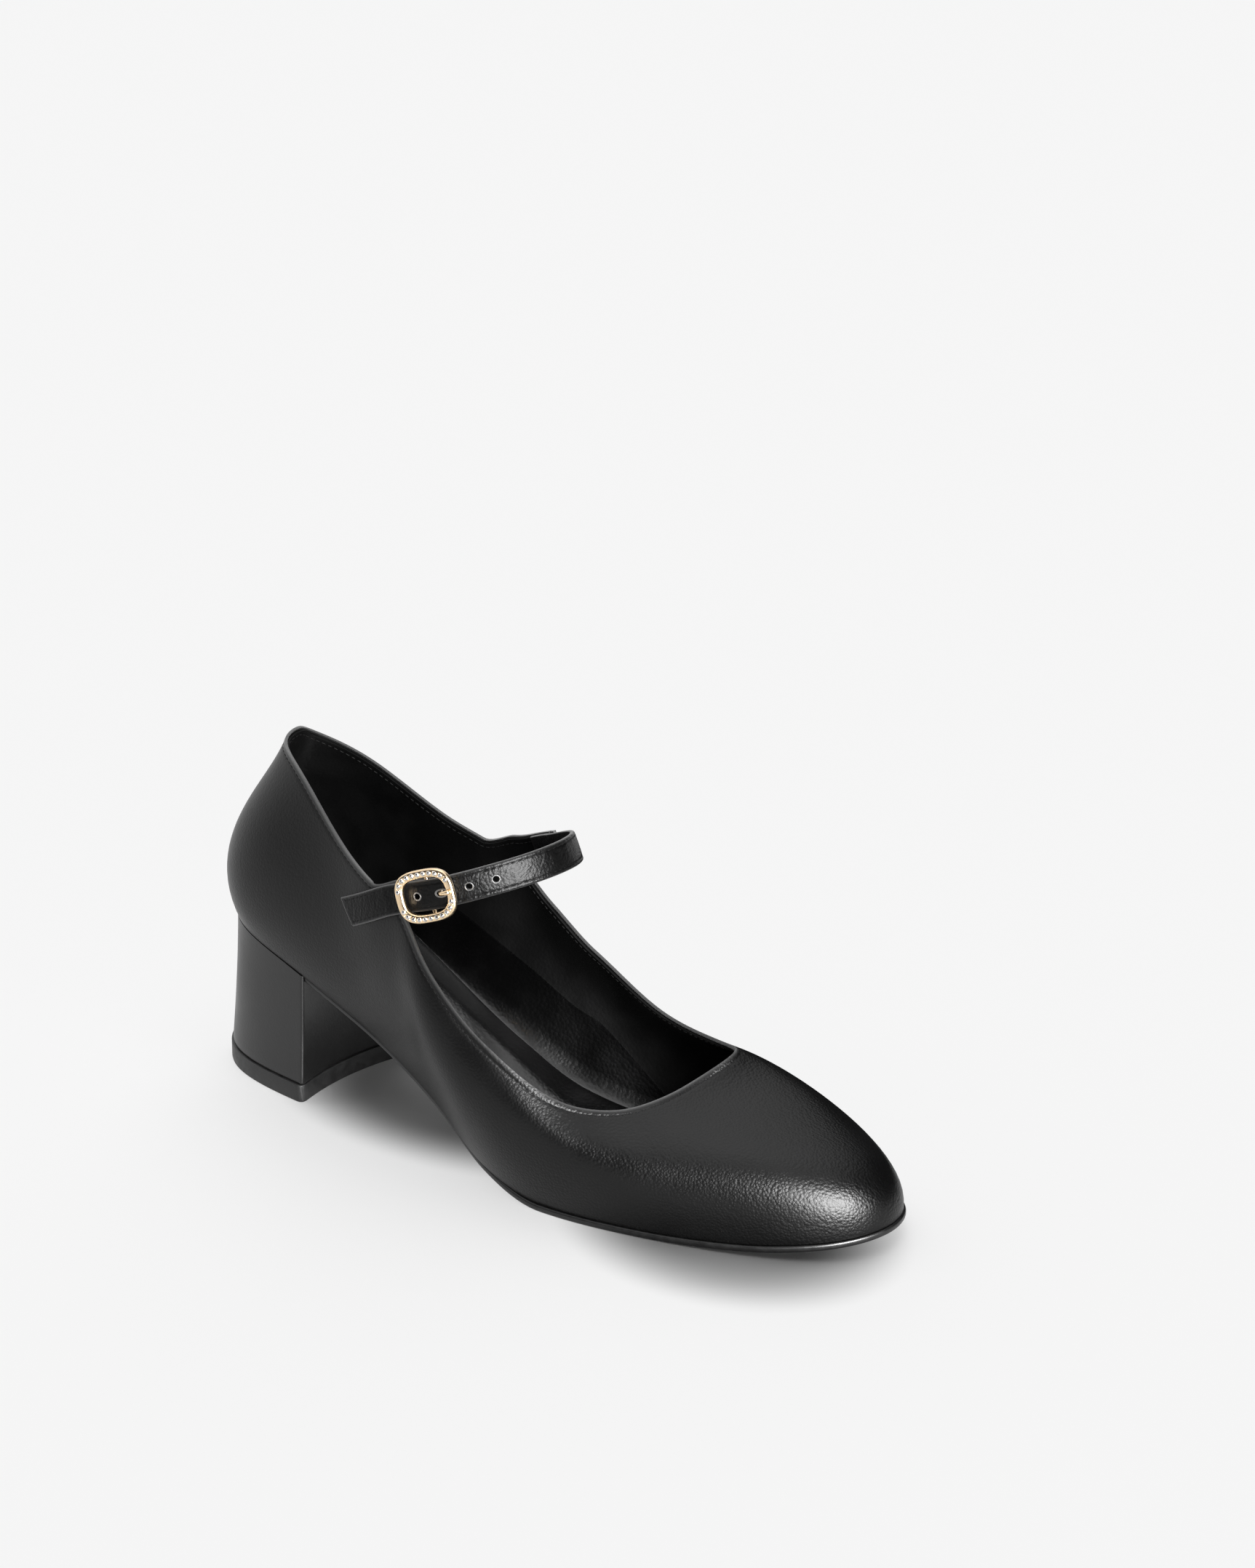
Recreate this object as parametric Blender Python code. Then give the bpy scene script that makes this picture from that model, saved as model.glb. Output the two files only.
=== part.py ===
"""Mary jane pump with a block heel, the right shoe, in metres.

+X points to the toe, +Y to the wearer's left (the inner side of this right shoe) and +Z up.
The origin is the middle of the heel's top piece, on the floor.
"""
import math
from collections import namedtuple

import bmesh
import bpy
import numpy as np

# Last
LENGTH = 0.238            # feather line from the back of the seat to the toe, seen from above
BALL_WIDTH = 0.076        # feather line across the ball
HEEL_HEIGHT = 0.0515      # floor to the feather line at the back of the seat
INSTEP_HEIGHT = 0.062     # reference height of the quarters above the feather line
TOE_SPRING = 0.0052       # lift of the feather line at the toe, above its height at the ball

# Leather and gaps
WALL = 0.0018             # upper with its lining
CLEARANCE = 0.0003        # between pieces that meet

# Sole and insole
SOLE_THICKNESS = 0.0022
SOLE_PROUD = 0.0007       # how far the sole stands out past the feather line
SOLE_ROUND = 0.0007       # rounding of the sole's edge
INSOLE_THICKNESS = 0.0024
ARCH_PAD = 0.0040         # height of the insole's raised inner arch
ARCH_PAD_AT = 0.44        # its middle, share of the length
ARCH_PAD_LENGTH = 0.060   # half its length

# Heel
HEEL_DEPTH = 0.0405       # back of the seat to the outer corner of the breast
HEEL_FLARE = 0.0026       # how far the block spreads at its foot
BREAST_TURN = 8.0         # degrees that the breast turns towards the toe on the inner side
BREAST_HOLLOW = 0.0042    # how far the breast curves in
CORNER_ROUND = 0.0012
TOP_PIECE_HEIGHT = 0.0060
TOP_PIECE_PROUD = 0.0005
TOP_PIECE_ROUND = 0.0030
EDGE_ROUND = 0.0006       # softened edge of the top piece and of the insole

# Strap
STRAP_WIDTH = 0.0094
STRAP_THICKNESS = 0.0016
STRAP_ROOT_OUTER = 0.375  # share of the length where the strap meets the topline, outer side
STRAP_ROOT_INNER = 0.375  # and on the inner side
STRAP_REACH_OUTER = 0.058  # pull of the strap's curve away from each root
STRAP_REACH_INNER = 0.061
STRAP_RISE_OUTER = 22.0   # degrees that the strap rises as it leaves each quarter
STRAP_RISE_INNER = 25.5
STRAP_LEAN_OUTER = 4.0    # degrees that it leans inwards there
STRAP_LEAN_INNER = -2.0
TAIL_LENGTH = 0.0200      # free end, from the outer root to its tip
TAIL_RISE = 28.5          # degrees that it rises towards the root
TIP_SLANT = 0.0015        # how far the free end's upper corner reaches past its lower one
EXTENSION_LENGTH = 0.027  # the inner quarter's end, laid over the strap
EXTENSION_LAP = 0.010     # how much of the strap lies under it
EXTENSION_FILLET = 0.0047  # widening at its root, back and front
EAR_LENGTH = 0.0180       # the outer quarter's end, under the buckle
EAR_FILLET_BACK = 0.0050
EAR_FILLET_FRONT = 0.0020
FILLET_RUN = 2.8          # length of each widening, over its width
TURN_RUN = 0.026          # length over which the strap turns from a quarter's face to its arch
LIFT_RUN = 0.016          # length over which it changes its height
HOLE_WIDTH = 0.0022
HOLE_SPACING = 0.0080
HOLES_BEHIND = 1          # holes between the prong's hole and the tip
HOLES_AHEAD = 2

# Buckle
BUCKLE_PLACE = 0.0155     # its middle, along the strap from the outer root
BUCKLE_LENGTH = 0.0200
BUCKLE_WIDTH = 0.0163
BUCKLE_BAND = 0.0026      # breadth of the frame's rim
BUCKLE_THICKNESS = 0.0017
BUCKLE_SQUARENESS = 3.0   # 2 would be an ellipse
RAIL_LIFT = 0.0010        # strap above its line, where the frame's two ends cross it
BAR_WIDTH = 0.0014
PRONG_WIDTH = 0.0012
PRONG_HOLE = 0.0048       # from the buckle's middle to the hole that the prong comes through

# Mesh fineness
ROUND = 84                # columns round the upper
ROWS = 12                 # rows from the feather line to the topline
SOLE_ROUND_STEPS = 96
STRAP_STEP = 0.0022
ROOT_COLUMNS = 4          # columns across half of each end that rises from the topline

HALF_TURN = math.pi
EAR_FILLETS = (EAR_FILLET_BACK, EAR_FILLET_FRONT)
EXTENSION_FILLETS = (EXTENSION_FILLET, EXTENSION_FILLET)
TOP_PIECE_CENTRE = (HEEL_DEPTH + 0.5 * math.tan(math.radians(BREAST_TURN)) * 0.6 * BALL_WIDTH) / 2.0

# Height of the feather line along the shoe: shares of the heel's height and of the toe spring
Height = namedtuple("Height", "at heel spring")
HEIGHTS = (
    Height(0.00, 1.000, 0.00),
    Height(0.05, 0.965, 0.00),
    Height(0.13, 0.885, 0.00),
    Height(0.26, 0.665, 0.00),
    Height(0.40, 0.335, 0.00),
    Height(0.50, 0.100, 0.00),
    Height(0.60, 0.000, 0.00),
    Height(0.74, 0.000, 0.00),
    Height(0.86, 0.000, 0.20),
    Height(0.95, 0.000, 0.66),
    Height(1.00, 0.000, 1.00),
)

# One row for each section of the upper, from the back round to the toe and back again.
# at: place along the feather line, share of LENGTH; width: its distance from the heel's middle
# line, share of BALL_WIDTH; top_at, top_width: the topline's place, in the same shares; rise: the
# topline above the feather line, share of INSTEP_HEIGHT; flare, tilt: degrees that the wall leans
# out at its foot and rises at the topline; foot, crown: how far each of the two leans carries,
# share of the section's reach.
Section = namedtuple("Section", "at width top_at top_width rise flare foot tilt crown")
OUTER = (
    Section(0.000, -0.010, 0.074, 0.030, 0.975, 24, 0.42, 70, 0.30),
    Section(0.040, -0.225, 0.090, -0.102, 0.985, 22, 0.42, 70, 0.30),
    Section(0.130, -0.300, 0.155, -0.213, 0.97, 18, 0.38, 75, 0.31),
    Section(0.240, -0.315, 0.245, -0.308, 0.895, 19, 0.36, 79, 0.31),
    Section(0.330, -0.320, 0.312, -0.370, 0.96, 23, 0.36, 78, 0.31),
    Section(0.400, -0.345, 0.362, -0.400, 1.035, 25, 0.36, 76, 0.31),
    Section(0.500, -0.420, 0.425, -0.460, 0.99, 22, 0.36, 69, 0.30),
    Section(0.620, -0.435, 0.530, -0.455, 0.75, 14, 0.36, 60, 0.30),
    Section(0.740, -0.355, 0.607, -0.385, 0.565, 10, 0.36, 42, 0.30),
    Section(0.860, -0.225, 0.669, -0.248, 0.492, 6, 0.39, 30, 0.30),
    Section(0.960, -0.045, 0.705, -0.084, 0.479, 4, 0.38, 25, 0.29),
)
TOE = Section(1.000, 0.200, 0.717, 0.063, 0.484, 3, 0.36, 25, 0.28)
INNER = (
    Section(0.960, 0.420, 0.732, 0.266, 0.577, 3, 0.33, 28, 0.26),
    Section(0.860, 0.503, 0.690, 0.333, 0.612, 6, 0.37, 32, 0.28),
    Section(0.740, 0.520, 0.592, 0.342, 0.679, 13, 0.35, 50, 0.29),
    Section(0.620, 0.420, 0.498, 0.370, 0.820, 21, 0.36, 63, 0.30),
    Section(0.500, 0.290, 0.410, 0.385, 0.930, 25, 0.36, 75, 0.30),
    Section(0.400, 0.240, 0.350, 0.385, 0.915, 28, 0.36, 81, 0.30),
    Section(0.260, 0.265, 0.260, 0.335, 0.790, 20, 0.36, 82, 0.30),
    Section(0.130, 0.310, 0.143, 0.260, 0.850, 14, 0.36, 81, 0.31),
    Section(0.040, 0.195, 0.080, 0.140, 0.925, 18, 0.38, 74, 0.32),
)
SECTIONS = OUTER + (TOE,) + INNER


def loop_angle(at, inner=False):
    """Angle round the shoe of a share of the length: 0 at the back, half a turn at the toe."""
    angle = math.acos(1.0 - 2.0 * at)
    return 2.0 * HALF_TURN - angle if inner else angle


KNOTS = [loop_angle(row.at, inner=number > len(OUTER)) for number, row in enumerate(SECTIONS)]


def closed_curve(values, angles):
    """Read a smooth closed curve through one value for each section at the given angles."""
    values = np.asarray(values, float)
    knots = np.asarray(KNOTS)
    count = len(knots)
    spans = np.diff(np.append(knots, knots[0] + 2.0 * HALF_TURN))
    matrix = np.zeros((count, count))
    jumps = np.zeros(count)
    for here in range(count):
        after = (here + 1) % count
        matrix[here, here - 1] += spans[here - 1]
        matrix[here, here] += 2.0 * (spans[here - 1] + spans[here])
        matrix[here, after] += spans[here]
        slope_after = (values[after] - values[here]) / spans[here]
        slope_before = (values[here] - values[here - 1]) / spans[here - 1]
        jumps[here] = 6.0 * (slope_after - slope_before)
    bends = np.linalg.solve(matrix, jumps)
    angles = np.mod(np.asarray(angles, float), 2.0 * HALF_TURN)
    here = np.clip(np.searchsorted(knots, angles, side="right") - 1, 0, count - 1)
    after = (here + 1) % count
    span = spans[here]
    done = angles - knots[here]
    left = span - done
    curve = (bends[here] * left ** 3 + bends[after] * done ** 3) / (6.0 * span)
    curve += (values[here] / span - bends[here] * span / 6.0) * left
    curve += (values[after] / span - bends[after] * span / 6.0) * done
    return curve


def column(name, angles):
    """Read one column of the sections' table at the given angles."""
    return closed_curve([getattr(row, name) for row in SECTIONS], angles)


def steady_curve(knots, values, places):
    """Read a curve that never passes its own values between two knots."""
    knots = np.asarray(knots, float)
    values = np.asarray(values, float)
    spans = np.diff(knots)
    slopes = np.diff(values) / spans
    ends = np.zeros(len(knots))
    for here in range(1, len(knots) - 1):
        before, after = slopes[here - 1], slopes[here]
        if before * after > 0.0:
            ends[here] = 2.0 * before * after / (before + after)
    ends[0] = slopes[0]
    ends[-1] = slopes[-1]
    places = np.clip(np.asarray(places, float), knots[0], knots[-1])
    here = np.clip(np.searchsorted(knots, places, side="right") - 1, 0, len(spans) - 1)
    span = spans[here]
    part = (places - knots[here]) / span
    rest = 1.0 - part
    curve = values[here] * (1.0 + 2.0 * part) * rest ** 2
    curve += values[here + 1] * (1.0 + 2.0 * rest) * part ** 2
    curve += span * part * rest * (ends[here] * rest - ends[here + 1] * part)
    return curve


def bottom_height(x):
    """Height of the last's underside at a place along the shoe."""
    at = (np.asarray(x, float) + TOP_PIECE_CENTRE) / LENGTH
    places = [row.at for row in HEIGHTS]
    base = SOLE_THICKNESS + CLEARANCE
    heel = steady_curve(places, [row.heel for row in HEIGHTS], at)
    spring = steady_curve(places, [row.spring for row in HEIGHTS], at)
    return base + heel * (HEEL_HEIGHT - base) + spring * TOE_SPRING


def feather_line(angles):
    """Points of the edge where the upper meets the sole."""
    angles = np.asarray(angles, float)
    x = LENGTH * (1.0 - np.cos(angles)) / 2.0 - TOP_PIECE_CENTRE
    return np.stack([x, column("width", angles) * BALL_WIDTH, bottom_height(x)], axis=-1)


def topline(angles):
    """Points of the collar and of the front opening's edge."""
    angles = np.asarray(angles, float)
    x = column("top_at", angles) * LENGTH - TOP_PIECE_CENTRE
    y = column("top_width", angles) * BALL_WIDTH
    z = feather_line(angles)[..., 2] + column("rise", angles) * INSTEP_HEIGHT
    return np.stack([x, y, z], axis=-1)


def unit(vectors):
    """Scale vectors to length one."""
    vectors = np.asarray(vectors, float)
    return vectors / np.linalg.norm(vectors, axis=-1, keepdims=True)


def outward(angles, step=1e-3):
    """Level directions that point away from the shoe along the feather line."""
    angles = np.asarray(angles, float)
    along = feather_line(angles + step) - feather_line(angles - step)
    return unit(np.stack([along[..., 1], -along[..., 0], np.zeros(along.shape[:-1])], axis=-1))


def inset_line(angles, inset):
    """The feather line moved inwards, on the last's underside."""
    points = feather_line(angles) - outward(angles) * inset
    points[..., 2] = bottom_height(points[..., 0])
    return points


def upper_surface(angles, shares):
    """Outer face of the upper at matching angles and shares of the way up to the topline."""
    angles = np.asarray(angles, float)
    shares = np.asarray(shares, float)[..., None]
    foot, top = feather_line(angles), topline(angles)
    away = outward(angles)
    flare = np.radians(column("flare", angles))[..., None]
    tilt = np.radians(column("tilt", angles))[..., None]
    up = np.array([0.0, 0.0, 1.0])
    reach = np.linalg.norm(top - foot, axis=-1)[..., None]
    leave = up * np.cos(flare) + away * np.sin(flare)
    arrive = up * np.sin(tilt) - away * np.cos(tilt)
    low = foot + leave * reach * column("foot", angles)[..., None]
    high = top - arrive * reach * column("crown", angles)[..., None]
    rest = 1.0 - shares
    return (foot * rest ** 3 + 3.0 * low * shares * rest ** 2
            + 3.0 * high * shares ** 2 * rest + top * shares ** 3)


def upper_normal(angles, shares, step=1e-3):
    """Outward normals of the upper's outer face."""
    across = upper_surface(angles, shares + step) - upper_surface(angles, shares - step)
    along = upper_surface(angles + step, shares) - upper_surface(angles - step, shares)
    return unit(np.cross(along, across))


def bezier(points, shares):
    """Read a cubic curve through its four points."""
    start, near, far, end = [np.asarray(point, float) for point in points]
    part = np.asarray(shares, float)[..., None]
    rest = 1.0 - part
    return start * rest ** 3 + 3.0 * near * part * rest ** 2 + 3.0 * far * part ** 2 * rest + end * part ** 3


ROOT_OUTER = loop_angle(STRAP_ROOT_OUTER)
ROOT_INNER = loop_angle(STRAP_ROOT_INNER, inner=True)


def leaving(rise, lean, side):
    """Direction in which the strap leaves a quarter, on the outer (-1) or the inner (1) side."""
    rise, lean = math.radians(rise), math.radians(lean)
    level = math.cos(rise)
    return np.array([level * math.cos(lean), -side * level * math.sin(lean), math.sin(rise)])


def strap_line():
    """Four points of the curve that the strap follows from its outer to its inner root."""
    start = topline(ROOT_OUTER)
    end = topline(ROOT_INNER)
    near = start + leaving(STRAP_RISE_OUTER, STRAP_LEAN_OUTER, -1.0) * STRAP_REACH_OUTER
    far = end + leaving(STRAP_RISE_INNER, STRAP_LEAN_INNER, 1.0) * STRAP_REACH_INNER
    return start, near, far, end


def along_topline(root, distance, steps=24):
    """Angle of the topline's point at a distance from a root; a positive distance runs forwards."""
    forwards = 1.0 if root < HALF_TURN else -1.0
    angle = root
    for _ in range(steps):
        speed = np.linalg.norm(topline(angle + 1e-3) - topline(angle - 1e-3)) / 2e-3
        angle += forwards * distance / steps / speed
    return angle


def tail_frames():
    """Points and normals of the strap's line over the outer quarter, from the tip to the root."""
    reach = TAIL_LENGTH + 3.0 * TIP_SLANT
    steps = int(round(reach / STRAP_STEP))
    angle, share = ROOT_OUTER, 1.0
    heading = -leaving(TAIL_RISE, STRAP_LEAN_OUTER, -1.0)
    points = [upper_surface(angle, share)]
    normals = [upper_normal(angle, share)]
    for _ in range(steps):
        along = (upper_surface(angle + 1e-3, share) - upper_surface(angle - 1e-3, share)) / 2e-3
        across = (upper_surface(angle, share + 1e-3) - upper_surface(angle, share - 1e-3)) / 2e-3
        move = np.linalg.lstsq(np.stack([along, across], axis=-1), heading, rcond=None)[0]
        move *= reach / steps / np.linalg.norm(along * move[0] + across * move[1])
        angle += move[0]
        share += move[1]
        points.append(upper_surface(angle, share))
        normals.append(upper_normal(angle, share))
        heading = unit(points[-1] - points[-2])
    return points[::-1], normals[::-1]


def smoothed(rows, passes):
    """Even out a row of vectors, with its two ends held."""
    rows = np.array(rows, float)
    for _ in range(passes):
        rows[1:-1] = (rows[:-2] + 2.0 * rows[1:-1] + rows[2:]) / 4.0
    return rows


class StrapPath:
    """The strap's line from its tip over the buckle and the instep to the inner root."""

    def __init__(self):
        tail, tail_normals = tail_frames()
        curve = bezier(strap_line(), np.linspace(0.0, 1.0, 400))
        lengths = np.append(0.0, np.cumsum(np.linalg.norm(np.diff(curve, axis=0), axis=1)))
        self.arch = lengths[-1]
        steps = int(round(self.arch / STRAP_STEP))
        marks = np.linspace(0.0, self.arch, steps + 1)
        arch = np.stack([np.interp(marks, lengths, curve[:, axis]) for axis in range(3)], axis=-1)
        tangents = unit(np.gradient(arch, axis=0))
        rise = math.radians((STRAP_RISE_OUTER + STRAP_RISE_INNER) / 2.0)
        axis = np.array([math.sin(rise), 0.0, -math.cos(rise)])
        arch_normals = unit(np.cross(axis, tangents))
        inner_normal = upper_normal(ROOT_INNER, 1.0)
        for root_normal, distances in ((tail_normals[-1], marks), (inner_normal, self.arch - marks)):
            part = np.clip(1.0 - distances / TURN_RUN, 0.0, 1.0)[:, None]
            part = part * part * (3.0 - 2.0 * part)
            arch_normals = unit(arch_normals * (1.0 - part) + root_normal * part)
        points = np.vstack([tail, arch[1:]])
        self.normals = unit(smoothed(np.vstack([tail_normals, arch_normals[1:]]), 3))
        even = smoothed(points, 4)
        inside = np.maximum(0.0, np.sum((points - even) * self.normals, axis=1))
        self.points = even + self.normals * inside[:, None]
        spans = np.linalg.norm(np.diff(self.points, axis=0), axis=1)
        self.marks = np.append(0.0, np.cumsum(spans))
        self.marks -= self.marks[len(tail) - 1]

    def frame(self, place):
        """Point, direction, outward normal and downward side at a distance from the outer root."""
        place = np.asarray(place, float)

        def read(rows, at):
            return np.stack([np.interp(at, self.marks, rows[:, axis]) for axis in range(3)], axis=-1)

        point = read(self.points, place)
        ahead = unit(read(self.points, place + 5e-4) - read(self.points, place - 5e-4))
        normal = read(self.normals, place)
        side = unit(np.cross(ahead, normal))
        return point, ahead, np.cross(side, ahead), side


PATH = StrapPath()
STRAP_START = -TAIL_LENGTH
STRAP_END = PATH.arch - EXTENSION_LENGTH + EXTENSION_LAP
BAR_TOP = CLEARANCE + BAR_WIDTH
FRAME_FLOOR = RAIL_LIFT + STRAP_THICKNESS + 3.0 * CLEARANCE


def strap_lift(place):
    """Height of the strap's inner face over its line."""
    reach = BUCKLE_LENGTH / 2.0 - BUCKLE_BAND / 2.0
    under = -(WALL + 2.0 * CLEARANCE + STRAP_THICKNESS)
    knots = (
        (STRAP_START, 2.0 * CLEARANCE),
        (BUCKLE_PLACE - reach - 0.4 * LIFT_RUN, 2.0 * CLEARANCE),
        (BUCKLE_PLACE - reach, RAIL_LIFT),
        (BUCKLE_PLACE - BAR_WIDTH, BAR_TOP + CLEARANCE),
        (BUCKLE_PLACE + PRONG_HOLE, BAR_TOP + CLEARANCE),
        (BUCKLE_PLACE + reach, RAIL_LIFT),
        (BUCKLE_PLACE + reach + LIFT_RUN, 0.0),
        (STRAP_END - EXTENSION_LAP - LIFT_RUN, 0.0),
        (STRAP_END - EXTENSION_LAP - 0.06 * LIFT_RUN, under),
        (STRAP_END, under),
    )
    return steady_curve([knot[0] for knot in knots], [knot[1] for knot in knots], place)


# Pieces
def material(name, colour, roughness, metallic=0.0):
    """A plain surface."""
    made = bpy.data.materials.new(name)
    made.use_nodes = True
    shader = made.node_tree.nodes["Principled BSDF"]
    shader.inputs["Base Color"].default_value = (*colour, 1.0)
    shader.inputs["Roughness"].default_value = roughness
    shader.inputs["Metallic"].default_value = metallic
    return made


def piece(name, points, faces, surface, collection, smooth=True):
    """A named object from points and faces, with its faces turned outwards."""
    mesh = bpy.data.meshes.new(name)
    mesh.from_pydata([tuple(map(float, point)) for point in points], [], [tuple(face) for face in faces])
    work = bmesh.new()
    work.from_mesh(mesh)
    bmesh.ops.recalc_face_normals(work, faces=work.faces)
    work.to_mesh(mesh)
    work.free()
    if surface:
        mesh.materials.append(surface)
    if smooth:
        mesh.shade_smooth()
        mesh.set_sharp_from_angle(angle=math.radians(35.0))
    made = bpy.data.objects.new(name, mesh)
    collection.objects.link(made)
    return made


def cutter(name, points, faces, collection):
    """A closed helper shape for a cut."""
    made = piece(name, points, faces, None, collection, smooth=False)
    made.hide_render = True
    made.display_type = "WIRE"
    return made


def combine(target, other, operation):
    """Cut or join a piece with another."""
    change = target.modifiers.new(operation.title(), "BOOLEAN")
    change.operation = operation
    change.solver = "EXACT"
    change.object = other


def tube_faces(rings, count, closed=False):
    """Faces of a stack of rings, each with `count` points, capped at both ends or closed on itself."""
    faces = []
    for ring in range(rings if closed else rings - 1):
        low, high = ring * count, (ring + 1) % rings * count
        for here in range(count):
            after = (here + 1) % count
            faces.append((low + here, low + after, high + after, high + here))
    if not closed:
        faces.append(tuple(range(count))[::-1])
        faces.append(tuple((rings - 1) * count + here for here in range(count)))
    return faces


def slab_faces(rings, count):
    """Faces of stacked rings round the shoe, with strips across for the top and the underside."""
    faces = tube_faces(rings, count)[:-2]
    for ring in (0, rings - 1):
        base = ring * count
        for here in range(count // 2):
            far, near = (count - here - 1) % count, (count - here) % count
            across = (base + here, base + here + 1, base + far, base + near)
            faces.append(tuple(dict.fromkeys(across)))
    return faces


class Sheet:
    """An open surface that is given a wall."""

    def __init__(self):
        self.outer = []
        self.inner = []
        self.faces = []

    def add(self, outer, inner):
        """Add one point and its partner on the inner face."""
        self.outer.append(np.asarray(outer, float))
        self.inner.append(np.asarray(inner, float))
        return len(self.outer) - 1

    def solid(self):
        """Points and faces of the closed wall."""
        count = len(self.outer)
        faces = [tuple(face) for face in self.faces]
        faces += [tuple(corner + count for corner in face)[::-1] for face in self.faces]
        edges = {}
        for face in self.faces:
            for start, end in zip(face, face[1:] + face[:1]):
                edges[(start, end)] = True
        for start, end in edges:
            if (end, start) not in edges:
                faces.append((end, start, start + count, end + count))
        return self.outer + self.inner, faces


def root_offsets(fillets):
    """Distances along the topline of the columns of an end that rises from it."""
    back, front = (STRAP_WIDTH / 2.0 + fillet for fillet in fillets)
    return np.append(np.linspace(-back, 0.0, ROOT_COLUMNS)[:-1], np.linspace(0.0, front, ROOT_COLUMNS))


def upper_angles():
    """Angles of the upper's columns, with the columns of the two rising ends among them."""
    ends = []
    for root, fillets in ((ROOT_OUTER, EAR_FILLETS), (ROOT_INNER, EXTENSION_FILLETS)):
        ends.append([along_topline(root, distance) for distance in root_offsets(fillets)])
    step = 2.0 * HALF_TURN / ROUND
    angles = []
    for number in range(ROUND):
        angle = number * step
        if all(angle < min(end) - 0.4 * step or angle > max(end) + 0.4 * step for end in ends):
            angles.append(angle)
    angles += ends[0] + ends[1]
    return np.array(sorted(angles)), ends


def widening(fillet, distance):
    """Widening of a rising end: a rounded corner that runs on from the topline."""
    left = max(0.0, 1.0 - distance / (FILLET_RUN * fillet))
    return fillet * (1.0 - math.sqrt(1.0 - left ** 2))


def rising_end(sheet, columns, root_place, length, fillets):
    """Carry the upper on from the topline along the strap's line."""
    rows = int(round(length / STRAP_STEP))
    towards = 1.0 if root_place == 0.0 else -1.0
    offsets = root_offsets(fillets)
    backwards = columns[0] < columns[-1]
    previous = columns
    for row in range(1, rows + 1):
        distance = length * (row / rows) ** 1.3
        point, _, normal, side = PATH.frame(root_place + towards * distance)
        halves = [(STRAP_WIDTH / 2.0 + widening(fillet, distance)) / (STRAP_WIDTH / 2.0 + fillet)
                  for fillet in fillets]
        share = min(1.0, distance / (0.64 * STRAP_WIDTH))
        share = share * share * (3.0 - 2.0 * share)
        current = []
        for column_index, offset in enumerate(offsets):
            start = sheet.outer[columns[column_index]]
            root_line = start - sheet.outer[columns[ROOT_COLUMNS - 1]]
            narrowing = halves[0] if offset < 0.0 else halves[1]
            place = point + (side * offset * share + root_line * (1.0 - share)) * narrowing
            root_normal = sheet.outer[columns[column_index]] - sheet.inner[columns[column_index]]
            face_normal = unit(normal * share + unit(root_normal) * (1.0 - share))
            current.append(sheet.add(place, place - face_normal * WALL))
        for here in range(len(columns) - 1):
            face = (previous[here], previous[here + 1], current[here + 1], current[here])
            sheet.faces.append(face if backwards else face[::-1])
        previous = current


def make_upper(surface, collection):
    """The hollow upper, with the outer quarter's ear and the inner quarter's long end."""
    angles, ends = upper_angles()
    count = len(angles)
    sheet = Sheet()
    shares = np.linspace(0.0, 1.0, ROWS + 1)
    foot_inner = inset_line(angles, WALL)
    for row, share in enumerate(shares):
        outer = upper_surface(angles, np.full(count, share))
        normals = upper_normal(angles, np.full(count, share))
        inner = outer - normals * WALL
        if row == 0:
            inner = foot_inner
        else:
            floor = bottom_height(inner[:, 0]) + CLEARANCE
            inner[:, 2] = np.maximum(inner[:, 2], floor)
        for outer_point, inner_point in zip(outer, inner):
            sheet.add(outer_point, inner_point)
    for row in range(ROWS):
        for here in range(count):
            after = (here + 1) % count
            low, high = row * count, (row + 1) * count
            sheet.faces.append((low + here, low + after, high + after, high + here))
    top = ROWS * count
    lookup = {round(float(angle), 9): top + number for number, angle in enumerate(angles)}
    ear = [lookup[round(float(angle), 9)] for angle in ends[0]]
    extension = [lookup[round(float(angle), 9)] for angle in ends[1]]
    rising_end(sheet, ear, 0.0, EAR_LENGTH, EAR_FILLETS)
    rising_end(sheet, extension, PATH.arch, EXTENSION_LENGTH, EXTENSION_FILLETS)
    return piece("upper", *sheet.solid(), surface, collection)


def sole_margin(x):
    """How far the sole stands out past the feather line: tucked in at the waist."""
    at = (np.asarray(x, float) + TOP_PIECE_CENTRE) / LENGTH
    share = np.clip((at - 0.46) / 0.14, 0.0, 1.0)
    share = share * share * (3.0 - 2.0 * share)
    return SOLE_PROUD * (2.0 * share - 1.0)


def heel_outline(spread, rounding, steps=40, arc_steps=12, corner_steps=4):
    """Outline of the heel seen from above, its sides spread outwards: back, sides and breast."""
    corner_outer = loop_angle(HEEL_DEPTH / LENGTH)
    turn = math.tan(math.radians(BREAST_TURN))
    corner_inner_at = (HEEL_DEPTH + turn * 0.6 * BALL_WIDTH) / LENGTH
    corner_inner = loop_angle(corner_inner_at)
    angles = np.linspace(-corner_inner, corner_outer, steps)
    side = (feather_line(angles) + outward(angles) * spread)[:, :2]
    start, end = side[-1], side[0]
    chord = end - start
    forward = np.array([chord[1], -chord[0]]) / np.linalg.norm(chord)
    start, end = start + forward * spread * 0.5, end + forward * spread * 0.5
    shares = np.linspace(0.0, 1.0, arc_steps + 1)
    hollow = 4.0 * BREAST_HOLLOW * shares * (1.0 - shares)
    breast = start + chord * shares[:, None] - forward * hollow[:, None]
    outline = []
    for corner, before, after in ((start, side[-2], breast[1]), (end, breast[-2], side[1])):
        back = corner + unit(before - corner) * rounding
        ahead = corner + unit(after - corner) * rounding
        part = np.linspace(0.0, 1.0, corner_steps + 1)[:, None]
        outline.append(back * (1 - part) ** 2 + 2.0 * corner * part * (1 - part) + ahead * part ** 2)
    return np.vstack([side[1:-1], outline[0], breast[1:-1], outline[1]])


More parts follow.
